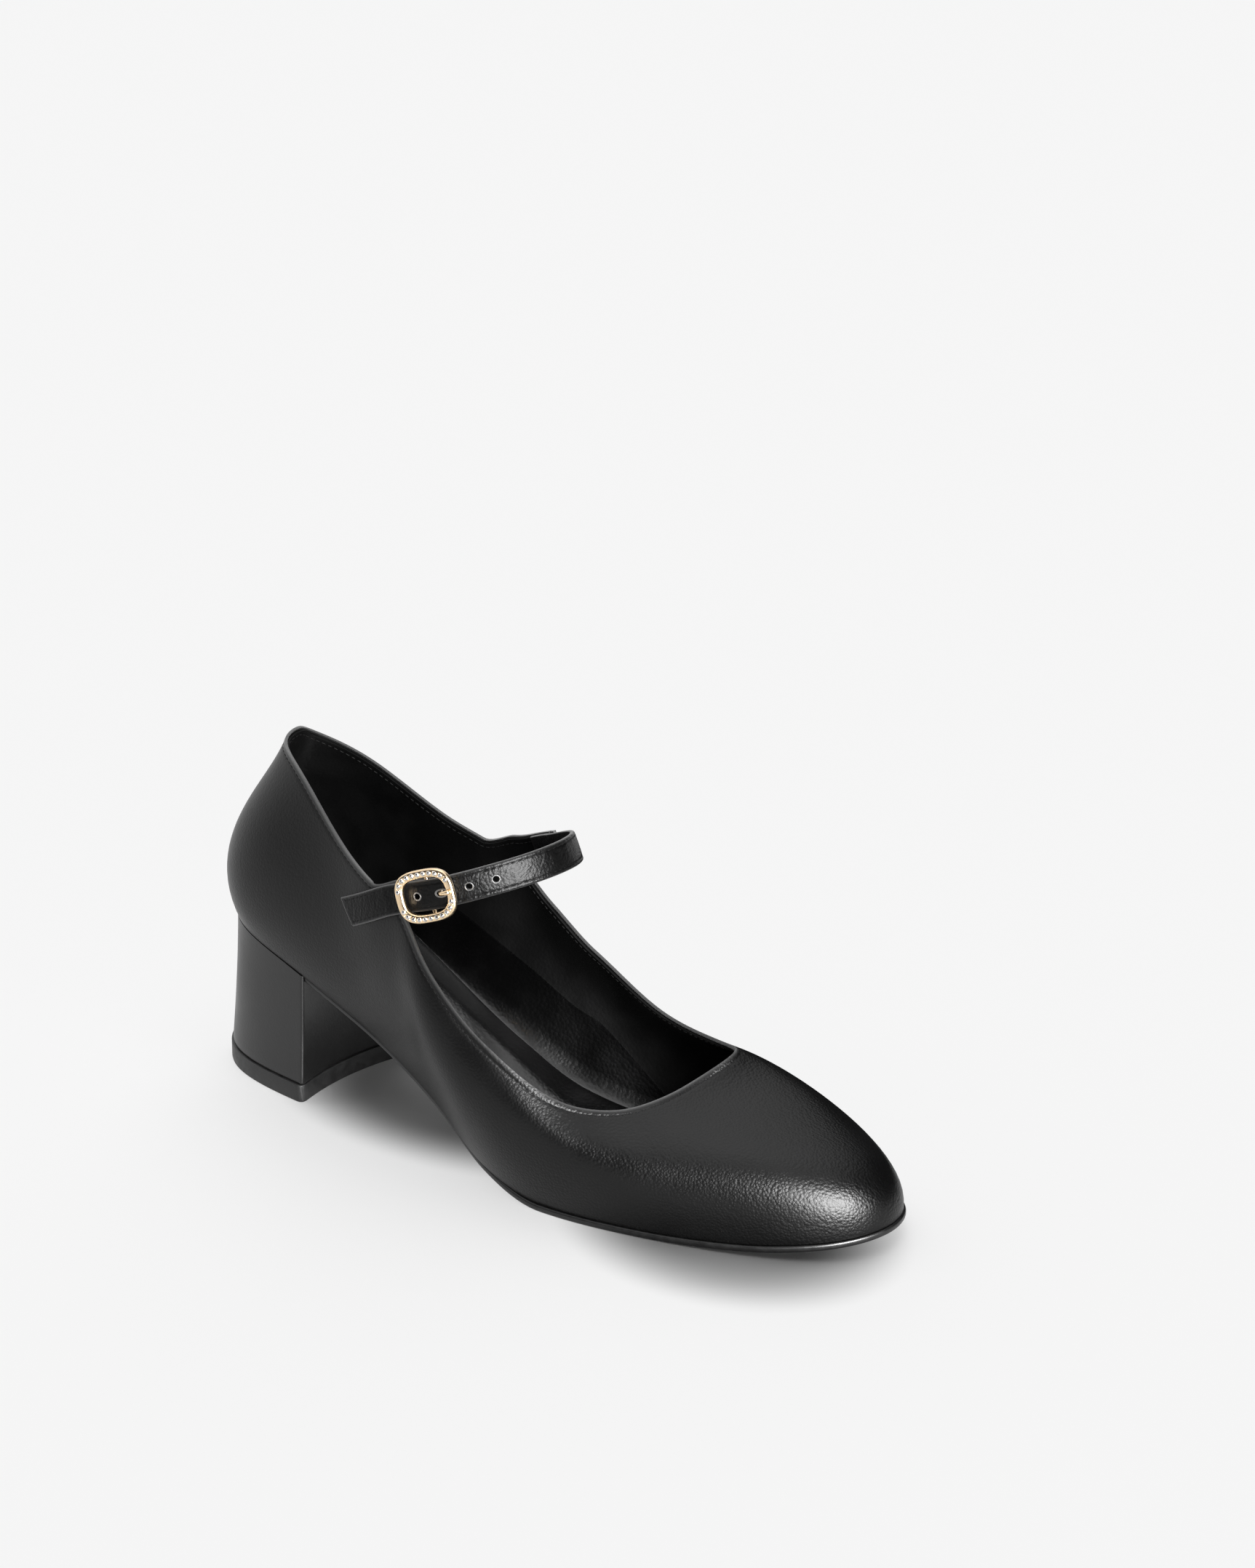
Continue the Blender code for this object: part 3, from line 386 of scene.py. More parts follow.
@dataclass
class StrapPath:
    """The strap's line from its tip over the buckle and the instep to the inner root."""

    last: Last
    width: float = 0.0094
    thickness: float = 0.0016
    root_outer_at: float = 0.375
    root_inner_at: float = 0.375
    reach_outer: float = 0.058
    reach_inner: float = 0.061
    rise_outer: float = 22.0
    rise_inner: float = 25.5
    lean_outer: float = 4.0
    lean_inner: float = -2.0
    tail_length: float = 0.0200
    tail_rise: float = 28.5
    tip_slant: float = 0.0015
    extension_length: float = 0.027
    extension_lap: float = 0.010
    turn_run: float = 0.026
    lift_run: float = 0.016
    step: float = 0.0022
    buckle_place: float = 0.0155
    buckle_length: float = 0.0200
    buckle_band: float = 0.0026
    bar_width: float = 0.0014
    rail_lift: float = 0.0010
    prong_hole: float = 0.0048
    wall: float = 0.0018
    arch: float = field(init=False)
    points: Points = field(init=False)
    normals: Points = field(init=False)
    marks: Points = field(init=False)

    def __post_init__(self) -> None:
        """Lay the tail on the quarter, the arch over the instep, and even out both."""
        tail, tail_normals = self.tail_frames()
        curve = self.arch_curve(np.linspace(0.0, 1.0, 400))
        lengths = np.append(0.0, np.cumsum(np.linalg.norm(np.diff(curve, axis=0), axis=1)))
        self.arch = float(lengths[-1])
        marks = np.linspace(0.0, self.arch, int(round(self.arch / self.step)) + 1)
        arch = np.stack([np.interp(marks, lengths, curve[:, axis]) for axis in range(3)], axis=-1)
        rise = math.radians((self.rise_outer + self.rise_inner) / 2.0)
        axis = np.array([math.sin(rise), 0.0, -math.cos(rise)])
        arch_normals = unit(np.cross(axis, unit(np.gradient(arch, axis=0))))
        inner_normal = self.last.normal(self.root_inner, 1.0)
        for root_normal, distances in ((tail_normals[-1], marks), (inner_normal, self.arch - marks)):
            part = smooth_step(1.0 - distances / self.turn_run)[:, None]
            arch_normals = unit(arch_normals * (1.0 - part) + root_normal * part)
        points = np.vstack([tail, arch[1:]])
        self.normals = unit(smoothed(np.vstack([tail_normals, arch_normals[1:]]), 3))
        even = smoothed(points, 4)
        inside = np.maximum(0.0, np.sum((points - even) * self.normals, axis=1))
        self.points = even + self.normals * inside[:, None]
        spans = np.linalg.norm(np.diff(self.points, axis=0), axis=1)
        self.marks = np.append(0.0, np.cumsum(spans))
        self.marks -= self.marks[len(tail) - 1]

    @property
    def root_outer(self) -> float:
        """Angle of the outer root."""
        return loop_angle(self.root_outer_at)

    @property
    def root_inner(self) -> float:
        """Angle of the inner root."""
        return loop_angle(self.root_inner_at, inner=True)

    @property
    def start(self) -> float:
        """Place of the free tip."""
        return -self.tail_length

    @property
    def end(self) -> float:
        """Place of the strap's end under the inner quarter's end."""
        return self.arch - self.extension_length + self.extension_lap

    @property
    def frame_floor(self) -> float:
        """Height of the buckle frame's underside over the strap's line."""
        return self.rail_lift + self.thickness + 3.0 * self.last.clearance

    def leaving(self, rise: float, lean: float, side: float) -> Points:
        """Direction in which the strap leaves a quarter.

        Args:
            rise: degrees that it rises.
            lean: degrees that it leans inwards.
            side: -1 on the outer side and 1 on the inner side.

        Returns:
            The direction.
        """
        rise, lean = math.radians(rise), math.radians(lean)
        level = math.cos(rise)
        return np.array([level * math.cos(lean), -side * level * math.sin(lean), math.sin(rise)])

    def arch_curve(self, shares: Points) -> Points:
        """Read the curve over the instep.

        Args:
            shares: shares of the way from the outer to the inner root.

        Returns:
            One point for each share.
        """
        start = self.last.topline(self.root_outer)
        end = self.last.topline(self.root_inner)
        near = start + self.leaving(self.rise_outer, self.lean_outer, -1.0) * self.reach_outer
        far = end + self.leaving(self.rise_inner, self.lean_inner, 1.0) * self.reach_inner
        part = np.asarray(shares, float)[..., None]
        rest = 1.0 - part
        return (start * rest ** 3 + 3.0 * near * part * rest ** 2
                + 3.0 * far * part ** 2 * rest + end * part ** 3)

    def tail_frames(self) -> tuple[Points, Points]:
        """Walk back from the outer root over the quarter.

        Returns:
            Points and outward directions, from the tip to the root.
        """
        last = self.last
        reach = self.tail_length + 3.0 * self.tip_slant
        steps = int(round(reach / self.step))
        angle, share = self.root_outer, 1.0
        heading = -self.leaving(self.tail_rise, self.lean_outer, -1.0)
        points = [last.surface(angle, share)]
        normals = [last.normal(angle, share)]
        for _ in range(steps):
            along = (last.surface(angle + 1e-3, share) - last.surface(angle - 1e-3, share)) / 2e-3
            across = (last.surface(angle, share + 1e-3) - last.surface(angle, share - 1e-3)) / 2e-3
            move = np.linalg.lstsq(np.stack([along, across], axis=-1), heading, rcond=None)[0]
            move *= reach / steps / np.linalg.norm(along * move[0] + across * move[1])
            angle += move[0]
            share += move[1]
            points.append(last.surface(angle, share))
            normals.append(last.normal(angle, share))
            heading = unit(points[-1] - points[-2])
        return np.array(points[::-1]), np.array(normals[::-1])

    def frame(self, place: float) -> tuple[Points, Points, Points, Points]:
        """Read the strap's frame at a distance from the outer root.

        Args:
            place: the distance.

        Returns:
            The point, the direction, the outward direction and the direction to the lower edge.
        """
        def read(rows: Points, at: float) -> Points:
            """Read rows of vectors at a place."""
            return np.stack([np.interp(at, self.marks, rows[:, axis]) for axis in range(3)], axis=-1)

        point = read(self.points, place)
        ahead = unit(read(self.points, place + 5e-4) - read(self.points, place - 5e-4))
        side = unit(np.cross(ahead, read(self.normals, place)))
        return point, ahead, np.cross(side, ahead), side

    def lift(self, place: float) -> float:
        """Height of the strap's inner face over its line.

        Args:
            place: distance from the outer root.

        Returns:
            The height.
        """
        clearance = self.last.clearance
        reach = self.buckle_length / 2.0 - self.buckle_band / 2.0
        under = -(self.wall + 2.0 * clearance + self.thickness)
        over_bar = 2.0 * clearance + self.bar_width
        middle = self.buckle_place
        knots = (
            (self.start, 2.0 * clearance),
            (middle - reach - 0.4 * self.lift_run, 2.0 * clearance),
            (middle - reach, self.rail_lift),
            (middle - self.bar_width, over_bar),
            (middle + self.prong_hole, over_bar),
            (middle + reach, self.rail_lift),
            (middle + reach + self.lift_run, 0.0),
            (self.end - self.extension_lap - self.lift_run, 0.0),
            (self.end - self.extension_lap - 0.06 * self.lift_run, under),
            (self.end, under),
        )
        return float(steady_curve([knot[0] for knot in knots], [knot[1] for knot in knots], place))


PATH = StrapPath(LAST)


def sides(face: Face) -> Iterable[tuple[int, int]]:
    """Pairs of corners along a face's sides."""
    return zip(face, face[1:] + face[:1])


def bell(values: Points, width: float, middle: float = 0.0) -> Points:
    """Read a bell curve of height one."""
    return np.exp(-((values - middle) / width) ** 2)


def turns(count: int) -> Points:
    """Even angles round a full turn."""
    return np.linspace(0.0, FULL_TURN, count, endpoint=False)


class Sheet:
    """An open surface built row by row, from which a skin of leather is cut."""

    def __init__(self, foot_count: int) -> None:
        """Start with no points.

        Args:
            foot_count: how many points its lowest row has.
        """
        self.foot_count = foot_count
        self.points: list[Points] = []
        self.normals: list[Points] = []
        self.faces: list[Face] = []

    def add(self, point: Points, normal: Points) -> int:
        """Add one point.

        Args:
            point: its place.
            normal: the outward direction there.

        Returns:
            Its number.
        """
        self.points.append(np.asarray(point, float))
        self.normals.append(np.asarray(normal, float))
        return len(self.points) - 1

    def edge_samples(self, each: int = 6) -> Points:
        """Points close together along the sheet's upper edges.

        Args:
            each: how many points for each stretch of edge.

        Returns:
            The points.
        """
        seen = dict.fromkeys(pair for face in self.faces for pair in sides(face))
        samples = []
        for start, end in seen:
            if (end, start) not in seen and max(start, end) >= self.foot_count:
                for share in np.linspace(0.0, 1.0, each, endpoint=False):
                    samples.append(self.points[start] * (1.0 - share) + self.points[end] * share)
        return np.array(samples)


def nearest(points: Iterable[Points], targets: Points) -> tuple[list[int], Points]:
    """Find the nearest target of each point.

    Args:
        points: the points to measure.
        targets: the points to measure to.

    Returns:
        The number of each point's target, and the distances to them.
    """
    tree = kdtree.KDTree(len(targets))
    for number, target in enumerate(targets):
        tree.insert(Vector(target), number)
    tree.balance()
    found = [tree.find(Vector(point)) for point in points]
    return [hit[1] for hit in found], np.array([hit[2] for hit in found])


def contours(points: Points, faces: Sequence[Face], values: Points, level: float) -> list[Points]:
    """Lines on a mesh where a value passes a level.

    Args:
        points: the mesh's points.
        faces: its faces.
        values: one value for each point.
        level: the value to follow.

    Returns:
        One row of points for each line, longest first.
    """
    crossings: dict[tuple[int, int], Points] = {}
    links: dict[tuple[int, int], list[tuple[int, int]]] = {}
    for face in faces:
        cut = []
        for start, end in sides(face):
            low, high = values[start] - level, values[end] - level
            if low * high < 0.0:
                edge = (min(start, end), max(start, end))
                crossings[edge] = points[start] + (points[end] - points[start]) * low / (low - high)
                cut.append(edge)
        if len(cut) == 2:
            links.setdefault(cut[0], []).append(cut[1])
            links.setdefault(cut[1], []).append(cut[0])
    lines = []
    left = set(links)
    while left:
        begin = next((edge for edge in left if len(links[edge]) == 1), next(iter(left)))
        line, here = [], begin
        while here is not None:
            line.append(here)
            left.discard(here)
            here = next((edge for edge in links[here] if edge in left), None)
        if begin in links[line[-1]] and len(line) > 2:
            line.append(begin)
        lines.append(np.array([crossings[edge] for edge in line]))
    return sorted(lines, key=len, reverse=True)


def link(thing: Thing) -> Thing:
    """Link an object to the scene."""
    bpy.context.scene.collection.objects.link(thing)
    return thing


def make_mesh(name: str, points: Iterable[Points], faces: Iterable[Face], recalc: bool = False,
              edges: Iterable[tuple[int, int]] = ()) -> Thing:
    """Make a smooth mesh object at the origin.

    Args:
        name: the object's name.
        points: its points.
        faces: its faces.
        recalc: True to turn its faces outwards.
        edges: its edges that have no faces.

    Returns:
        The object, linked to the scene.
    """
    mesh = bpy.data.meshes.new(name)
    mesh.from_pydata([tuple(map(float, point)) for point in points], list(edges), list(faces))
    if recalc:
        work = bmesh.new()
        work.from_mesh(mesh)
        bmesh.ops.recalc_face_normals(work, faces=work.faces)
        work.to_mesh(mesh)
        work.free()
    mesh.shade_smooth()
    return link(bpy.data.objects.new(name, mesh))


def bake(piece: Thing) -> bpy.types.Mesh:
    """Turn a piece's modifiers into its mesh.

    Args:
        piece: the object.

    Returns:
        Its new mesh.
    """
    depsgraph = bpy.context.evaluated_depsgraph_get()
    mesh = bpy.data.meshes.new_from_object(piece.evaluated_get(depsgraph), depsgraph=depsgraph)
    old = piece.data
    piece.modifiers.clear()
    piece.data = mesh
    mesh.name = piece.name
    bpy.data.meshes.remove(old)
    return mesh


def settle(piece: Thing, sharp: float = 40.0) -> Thing:
    """Bake a piece and shade it smooth but for its sharp edges.

    Args:
        piece: the object.
        sharp: degrees between two faces past which their edge stays sharp.

    Returns:
        The same object with a plain mesh.
    """
    mesh = bake(piece)
    mesh.shade_smooth()
    mesh.set_sharp_from_angle(angle=math.radians(sharp))
    return piece


def thicken(piece: Thing, wall: float, rounding: float, segments: int = 3) -> Thing:
    """Give a sheet a wall inwards and round its edges.

    Args:
        piece: the open sheet.
        wall: the wall's thickness.
        rounding: radius of its edges.
        segments: how many faces go round an edge.

    Returns:
        The same object with a plain mesh.
    """
    shell = piece.modifiers.new("wall", "SOLIDIFY")
    shell.thickness = wall
    shell.offset = -1.0
    shell.use_even_offset = False
    bevel = piece.modifiers.new("round", "BEVEL")
    bevel.width = rounding
    bevel.segments = segments
    bevel.limit_method = "ANGLE"
    bevel.angle_limit = math.radians(50.0)
    bevel.harden_normals = False
    return settle(piece)


def carve(piece: Thing, tool: Thing) -> Thing:
    """Cut one solid out of another and remove the tool.

    Args:
        piece: the solid that is kept.
        tool: the solid that is cut away.

    Returns:
        The piece with a plain mesh.
    """
    change = piece.modifiers.new("carve", "BOOLEAN")
    change.operation = "DIFFERENCE"
    change.solver = "EXACT"
    change.object = tool
    settle(piece)
    mesh = tool.data
    bpy.data.objects.remove(tool)
    bpy.data.meshes.remove(mesh)
    return piece


def drop_loose(piece: Thing) -> None:
    """Remove the points that no face uses.

    Args:
        piece: the object.
    """
    work = bmesh.new()
    work.from_mesh(piece.data)
    bmesh.ops.delete(work, geom=[point for point in work.verts if not point.link_faces], context="VERTS")
    work.to_mesh(piece.data)
    work.free()


def mark(piece: Thing, edge_highlight: Points) -> None:
    """Store a share of painted edge highlight for each of a piece's points."""
    layer = piece.data.attributes.new("edge_highlight", "FLOAT", "POINT")
    layer.data.foreach_set("value", [float(share) for share in edge_highlight])


def tube_faces(rings: int, count: int, closed: bool = False) -> list[Face]:
    """Faces of a stack of rings.

    Args:
        rings: how many rings.
        count: points in each ring.
        closed: True where the last ring meets the first.

    Returns:
        The faces, with caps at both ends of an open stack.
    """
    faces: list[Face] = []
    for ring in range(rings if closed else rings - 1):
        low, high = ring * count, (ring + 1) % rings * count
        for here in range(count):
            after = (here + 1) % count
            faces.append((low + here, low + after, high + after, high + here))
    if not closed:
        faces.append(tuple(range(count))[::-1])
        faces.append(tuple((rings - 1) * count + here for here in range(count)))
    return faces


def slab_faces(rings: int, count: int) -> list[Face]:
    """Faces of a slab between two outlines, its flat sides in strips across the shoe.

    Args:
        rings: how many rings.
        count: points in each ring, starting at the back.

    Returns:
        The faces.
    """
    faces = tube_faces(rings, count)[:-2]
    for ring in (0, rings - 1):
        for here in range(count // 2):
            corners = (here, here + 1, (count - here - 1) % count, (count - here) % count)
            face = tuple(ring * count + corner for corner in dict.fromkeys(corners))
            if len(face) > 2:
                faces.append(face if ring == 0 else face[::-1])
    return faces


def joined(name: str, parts: Sequence[Shape]) -> Thing:
    """Make one object of several shapes.

    Args:
        name: the object's name.
        parts: points and faces of each shape.

    Returns:
        The object.
    """
    points: list[Points] = []
    faces: list[Face] = []
    for some, their in parts:
        faces.extend(tuple(corner + len(points) for corner in face) for face in their)
        points.extend(some)
    return make_mesh(name, points, faces, recalc=True)


def round_bar(route: Points, widths: Sequence[float], count: int = 20) -> Shape:
    """A bar along a route.

    Args:
        route: the route's points.
        widths: the bar's width at each of them.
        count: faces round it.

    Returns:
        Points and faces.
    """
    ahead = unit(np.gradient(route, axis=0))
    points = []
    side = np.cross(ahead[0], [0.31, 0.52, 0.79])
    for point, direction, width in zip(route, ahead, widths):
        side = unit(side - direction * np.dot(side, direction))
        up = np.cross(direction, side)
        for turn in turns(count):
            points.append(point + (side * math.cos(turn) + up * math.sin(turn)) * width / 2.0)
    return points, tube_faces(len(route), count)


def evened(line: Points, spacing: float) -> Points:
    """Points at even distances along a line.

    Args:
        line: a row of points.
        spacing: the wanted distance.

    Returns:
        The new row.
    """
    lengths = np.append(0.0, np.cumsum(np.linalg.norm(np.diff(line, axis=0), axis=1)))
    count = max(2, int(round(lengths[-1] / spacing)) + 1)
    marks = np.linspace(0.0, lengths[-1], count)
    return np.stack([np.interp(marks, lengths, line[:, axis]) for axis in range(3)], axis=-1)


def feed(tree: Tree, node: bpy.types.Node, given: Given) -> None:
    """Give some of a node's inputs a link or a value each.

    Args:
        tree: the node's tree.
        node: the node.
        given: what each input takes.
    """
    for name, value in given.items():
        if isinstance(value, Socket):
            tree.links.new(value, node.inputs[name])
        else:
            node.inputs[name].default_value = value


def grow(tree: Tree, kind: str, given: Given, **settings: object) -> bpy.types.Node:
    """Add a node to a tree.

    Args:
        tree: the tree.
        kind: the node's kind.
        given: what each of its inputs takes.
        settings: its own settings.

    Returns:
        The node.
    """
    node = tree.nodes.new(kind)
    for name, value in settings.items():
        setattr(node, name, value)
    feed(tree, node, given)
    return node


def eased(tree: Tree, value: Socket, low: float, high: float, first: float, last: float) -> Socket:
    """Ease a value in a tree from the range low..high to the range first..last."""
    given = {"Value": value, "From Min": low, "From Max": high, "To Min": first, "To Max": last}
    return grow(tree, "ShaderNodeMapRange", given, interpolation_type="SMOOTHSTEP").outputs["Result"]


class Repeat(Enum):
    """What is set along a line."""

    STITCH = "stitch"
    STONE = "stone"
    BEAD = "bead"


@dataclass(frozen=True)
class Row:
    """A row of small things along a line, made with Geometry Nodes."""

    kind: Repeat
    spacing: float
    length: float
    width: float
    height: float
    seed: int = 7
    wobble: float = 0.0

    def tree(self, finish: Material) -> Tree:
        """Build the node tree.

        Args:
            finish: the material of each small thing.

        Returns:
            The tree, with its sizes as named inputs.
        """
        tree = bpy.data.node_groups.new(f"row_of_{self.kind.value}", "GeometryNodeTree")
        sizes = tuple((name, "Float") for name in ("Spacing", "Length", "Width", "Height", "Wobble"))
        for name, kind in (("Geometry", "Geometry"), *sizes, ("Facing", "Vector")):
            tree.interface.new_socket(name, in_out="INPUT", socket_type=f"NodeSocket{kind}")
        tree.interface.new_socket("Geometry", in_out="OUTPUT", socket_type="NodeSocketGeometry")
        given = grow(tree, "NodeGroupInput", {}).outputs
        curve = grow(tree, "GeometryNodeMeshToCurve", {"Mesh": given["Geometry"]}).outputs["Curve"]
        even = grow(tree, "GeometryNodeResampleCurve", {"Curve": curve, "Length": given["Spacing"]},
                    mode="LENGTH")
        if self.kind is Repeat.STONE:
            shape = grow(tree, "GeometryNodeMeshIcoSphere", {"Radius": 0.5, "Subdivisions": 2})
        else:
            shape = grow(tree, "GeometryNodeMeshUVSphere", {"Radius": 0.5, "Segments": 8, "Rings": 6})
        soft = grow(tree, "GeometryNodeSetShadeSmooth", {
            "Geometry": shape.outputs["Mesh"], "Shade Smooth": self.kind is not Repeat.STONE})
        tangent = grow(tree, "GeometryNodeInputTangent", {}).outputs["Tangent"]
        turn = grow(tree, "FunctionNodeAxesToRotation", {
            "Primary Axis": tangent, "Secondary Axis": given["Facing"]
        }, primary_axis="X", secondary_axis="Z")
        chance = grow(tree, "FunctionNodeRandomValue", {"Seed": self.seed}, data_type="FLOAT")
        spread = grow(tree, "ShaderNodeMath", {0: chance.outputs[1], 1: given["Wobble"]},
                      operation="MULTIPLY")
        longer = grow(tree, "ShaderNodeMath", {0: given["Length"], 1: spread.outputs[0]}, operation="ADD")
        size = grow(tree, "ShaderNodeCombineXYZ", {
            "X": longer.outputs[0], "Y": given["Width"], "Z": given["Height"]})
        place = grow(tree, "GeometryNodeInstanceOnPoints", {
            "Points": even.outputs["Curve"], "Instance": soft.outputs["Geometry"],
            "Rotation": turn.outputs["Rotation"], "Scale": size.outputs["Vector"]})
        real = grow(tree, "GeometryNodeRealizeInstances", {"Geometry": place.outputs["Instances"]})
        dressed = grow(tree, "GeometryNodeSetMaterial", {
            "Geometry": real.outputs["Geometry"], "Material": finish})
        grow(tree, "NodeGroupOutput", {"Geometry": dressed.outputs["Geometry"]})
        return tree

    def lay(self, name: str, lines: Sequence[Points], finish: Material,
            facing: Sequence[float] = UP) -> Thing:
        """Set the row along some lines as one plain mesh.

        Args:
            name: the piece's name.
            lines: rows of points.
            finish: the material.
            facing: the direction that each small thing's top faces.

        Returns:
            The piece.
        """
        points: list[Points] = []
        edges: list[tuple[int, int]] = []
        for line in lines:
            edges.extend((len(points) + here, len(points) + here + 1) for here in range(len(line) - 1))
            points.extend(line)
        piece = make_mesh(name, points, (), edges=edges)
        change = piece.modifiers.new("row", "NODES")
        change.node_group = self.tree(finish)
        values = {"Spacing": self.spacing, "Length": self.length, "Width": self.width,
                  "Height": self.height, "Wobble": self.wobble, "Facing": tuple(facing)}
        for item in change.node_group.interface.items_tree:
            if item.in_out == "INPUT" and item.name in values:
                change[item.identifier] = values[item.name]
        mesh = bake(piece)
        mesh.materials.clear()
        mesh.materials.append(finish)
        mesh.polygons.foreach_set("material_index", [0] * len(mesh.polygons))
        return piece


class Shader:
    """A material while its nodes are put together."""

    def __init__(self, name: str) -> None:
        """Start from a plain principled surface.

        Args:
            name: the material's name.
        """
        self.material = bpy.data.materials.new(name)
        self.material.use_nodes = True
        self.tree = self.material.node_tree
        self.surface = self.tree.nodes["Principled BSDF"]
        self.place = self.add("ShaderNodeTexCoord", "Object", {})
        self.bent: dict[str, Socket] = {}

    def add(self, kind: str, out: str | int, given: Given, **settings: object) -> Socket:
        """Add a node and read one of its outputs."""
        return grow(self.tree, kind, given, **settings).outputs[out]

    def set(self, **given: object) -> None:
        """Give the surface's inputs a link or a value each, with _ for a space in a name."""
        feed(self.tree, self.surface, {name.replace("_", " "): value for name, value in given.items()})

    def noise(self, scale: float, detail: float = 2.0, rough: float = 0.5, **given: object) -> Socket:
        """Add a cloudy pattern, its scale in features per metre."""
        return self.add("ShaderNodeTexNoise", "Fac", {
            "Scale": scale, "Detail": detail, "Roughness": rough, "Vector": self.place, **given})

    def axis(self, name: str) -> Socket:
        """Read the X, Y or Z of the place, in metres."""
        return self.add("ShaderNodeSeparateXYZ", name, {"Vector": self.place})

    def between(self, value: Socket, low: float, high: float, first: float, last: float) -> Socket:
        """Ease a value from the range low..high to the range first..last."""
        return eased(self.tree, value, low, high, first, last)

    def combined(self, how: str, first: Socket, second: Socket | float) -> Socket:
        """Put two values together: ADD, MULTIPLY or MINIMUM."""
        return self.add("ShaderNodeMath", "Value", {0: first, 1: second}, operation=how)

    def colours(self, value: Socket, tone: Colour, dark: float, light: float,
                highlight_tone: Colour | None = None) -> None:
        """Colour the surface by a value.

        Args:
            value: the value, darkest below 0.3 and lightest above 0.7.
            tone: the linear colour between them.
            dark: its factor where it is darkest.
            light: its factor where it is lightest.
            highlight_tone: the lighter colour mixed in where the piece carries its painted edge highlight.
        """
        ramp = grow(self.tree, "ShaderNodeValToRGB", {"Fac": value})
        for element, at, factor in zip(ramp.color_ramp.elements, (0.3, 0.7), (dark, light)):
            element.position = at
            element.color = (*(min(1.0, part * factor) for part in tone), 1.0)
        colour = ramp.outputs["Color"]
        if highlight_tone is not None:
            # Painted highlight: a stored share per point mixes the lighter colour in along edges, standing
            # in for light caught there.
            highlighted = self.add("ShaderNodeAttribute", "Fac", {}, attribute_name="edge_highlight")
            colour = self.add("ShaderNodeMix", 2, {0: highlighted, 6: colour, 7: (*highlight_tone, 1.0)}, data_type="RGBA")
        self.set(Base_Color=colour)

    def bump(self, height: Socket, depth: float, strength: float = 1.0) -> None:
        """Raise the surface by a pattern, over the patterns before it.

        Args:
            height: the pattern.
            depth: its depth in metres.
            strength: how much of it shows.
        """
        given = {"Height": height, "Distance": depth, "Strength": strength, **self.bent}
        self.bent = {"Normal": self.add("ShaderNodeBump", "Normal", given)}
        self.set(**self.bent)


class Grain(Enum):
    """Kinds of leather grain."""

    FINE = "fine"
    PEBBLED = "pebbled"
    CREASED = "creased"


@dataclass(frozen=True)
class Leather:
    """A dyed leather with its grain."""

    name: str
    grain: Grain = Grain.FINE
    tone: Colour = (0.0036, 0.0036, 0.0038)
    roughness: float = 0.36
    spread: float = 0.05
    pebble: float = 1200.0
    depth: float = 0.00011
    shine: float = 0.25
    coat: float = 0.0
    coat_roughness: float = 0.2
    # Lighter colour of a painted highlight along the piece's edges, if it has one.
    edge: Colour | None = None
    vamp_from: float = 0.085
    vamp_to: float = 0.150

    def make(self) -> Material:
        """Build the material.

        Returns:
            The leather.
        """
        shader = Shader(self.name)
        shader.set(Specular_IOR_Level=self.shine, Coat_Weight=self.coat, Coat_Roughness=self.coat_roughness)
        shader.colours(shader.noise(38.0, 3.0, 0.55), self.tone, 0.82, 1.22, self.edge)
        low, high = self.roughness - self.spread / 2.0, self.roughness + self.spread / 2.0
        shader.set(Roughness=shader.between(shader.noise(60.0), 0.3, 0.7, low, high))
        pebbles = shader.add("ShaderNodeTexVoronoi", "Distance", {
            "Scale": self.pebble, "Vector": shader.place})
        pull = shader.noise(self.pebble * 0.35)
        swell = shader.combined("ADD", shader.combined("MULTIPLY", pebbles, -0.9),
                                shader.combined("MULTIPLY", pull, 0.45))
        if self.grain is Grain.FINE:
            vamp = shader.between(shader.axis("X"), self.vamp_from, self.vamp_to, 0.42, 1.0)
            swell = shader.combined("MULTIPLY", swell, vamp)
        shader.bump(swell, self.depth)
        shader.bump(shader.noise(self.pebble * 2.6, 3.0, 0.6), self.depth * 0.45, 0.8)
        if self.grain is Grain.CREASED:
            along = shader.add("ShaderNodeMapping", "Vector", {
                "Vector": shader.place, "Scale": (420.0, 160.0, 160.0)})
            shader.bump(shader.noise(1.0, 3.0, 0.6, Vector=along, Distortion=0.6), self.depth * 4.0, 0.8)
        elif self.grain is Grain.PEBBLED:
            shader.bump(shader.noise(240.0), self.depth * 1.2, 0.6)
        return shader.material


@dataclass(frozen=True)
class Plain:
    """A plain surface with a little unevenness."""

    name: str
    tone: Colour
    roughness: float
    shine: float = 0.5
    metal: float = 0.0
    mottle: float = 0.08
    scale: float = 400.0
    depth: float = 0.00002
    glass: float = 1.5

    def make(self) -> Material:
        """Build the material.

        Returns:
            The surface.
        """
        shader = Shader(self.name)
        shader.set(Metallic=self.metal, Specular_IOR_Level=self.shine, IOR=self.glass)
        mottle = shader.noise(self.scale, 3.0, 0.55)
        shader.colours(mottle, self.tone, 1.0 - self.mottle, 1.0 + self.mottle)
        low, high = self.roughness * 0.9, min(1.0, self.roughness * 1.1)
        shader.set(Roughness=shader.between(mottle, 0.3, 0.7, low, high))
        if self.depth > 0.0:
            shader.bump(mottle, self.depth)
        return shader.material


class ShadowOval(NamedTuple):
    """An oval of painted shadow on the floor, where the floor's glow is dimmed."""

    x: float
    y: float
    long: float
    wide: float


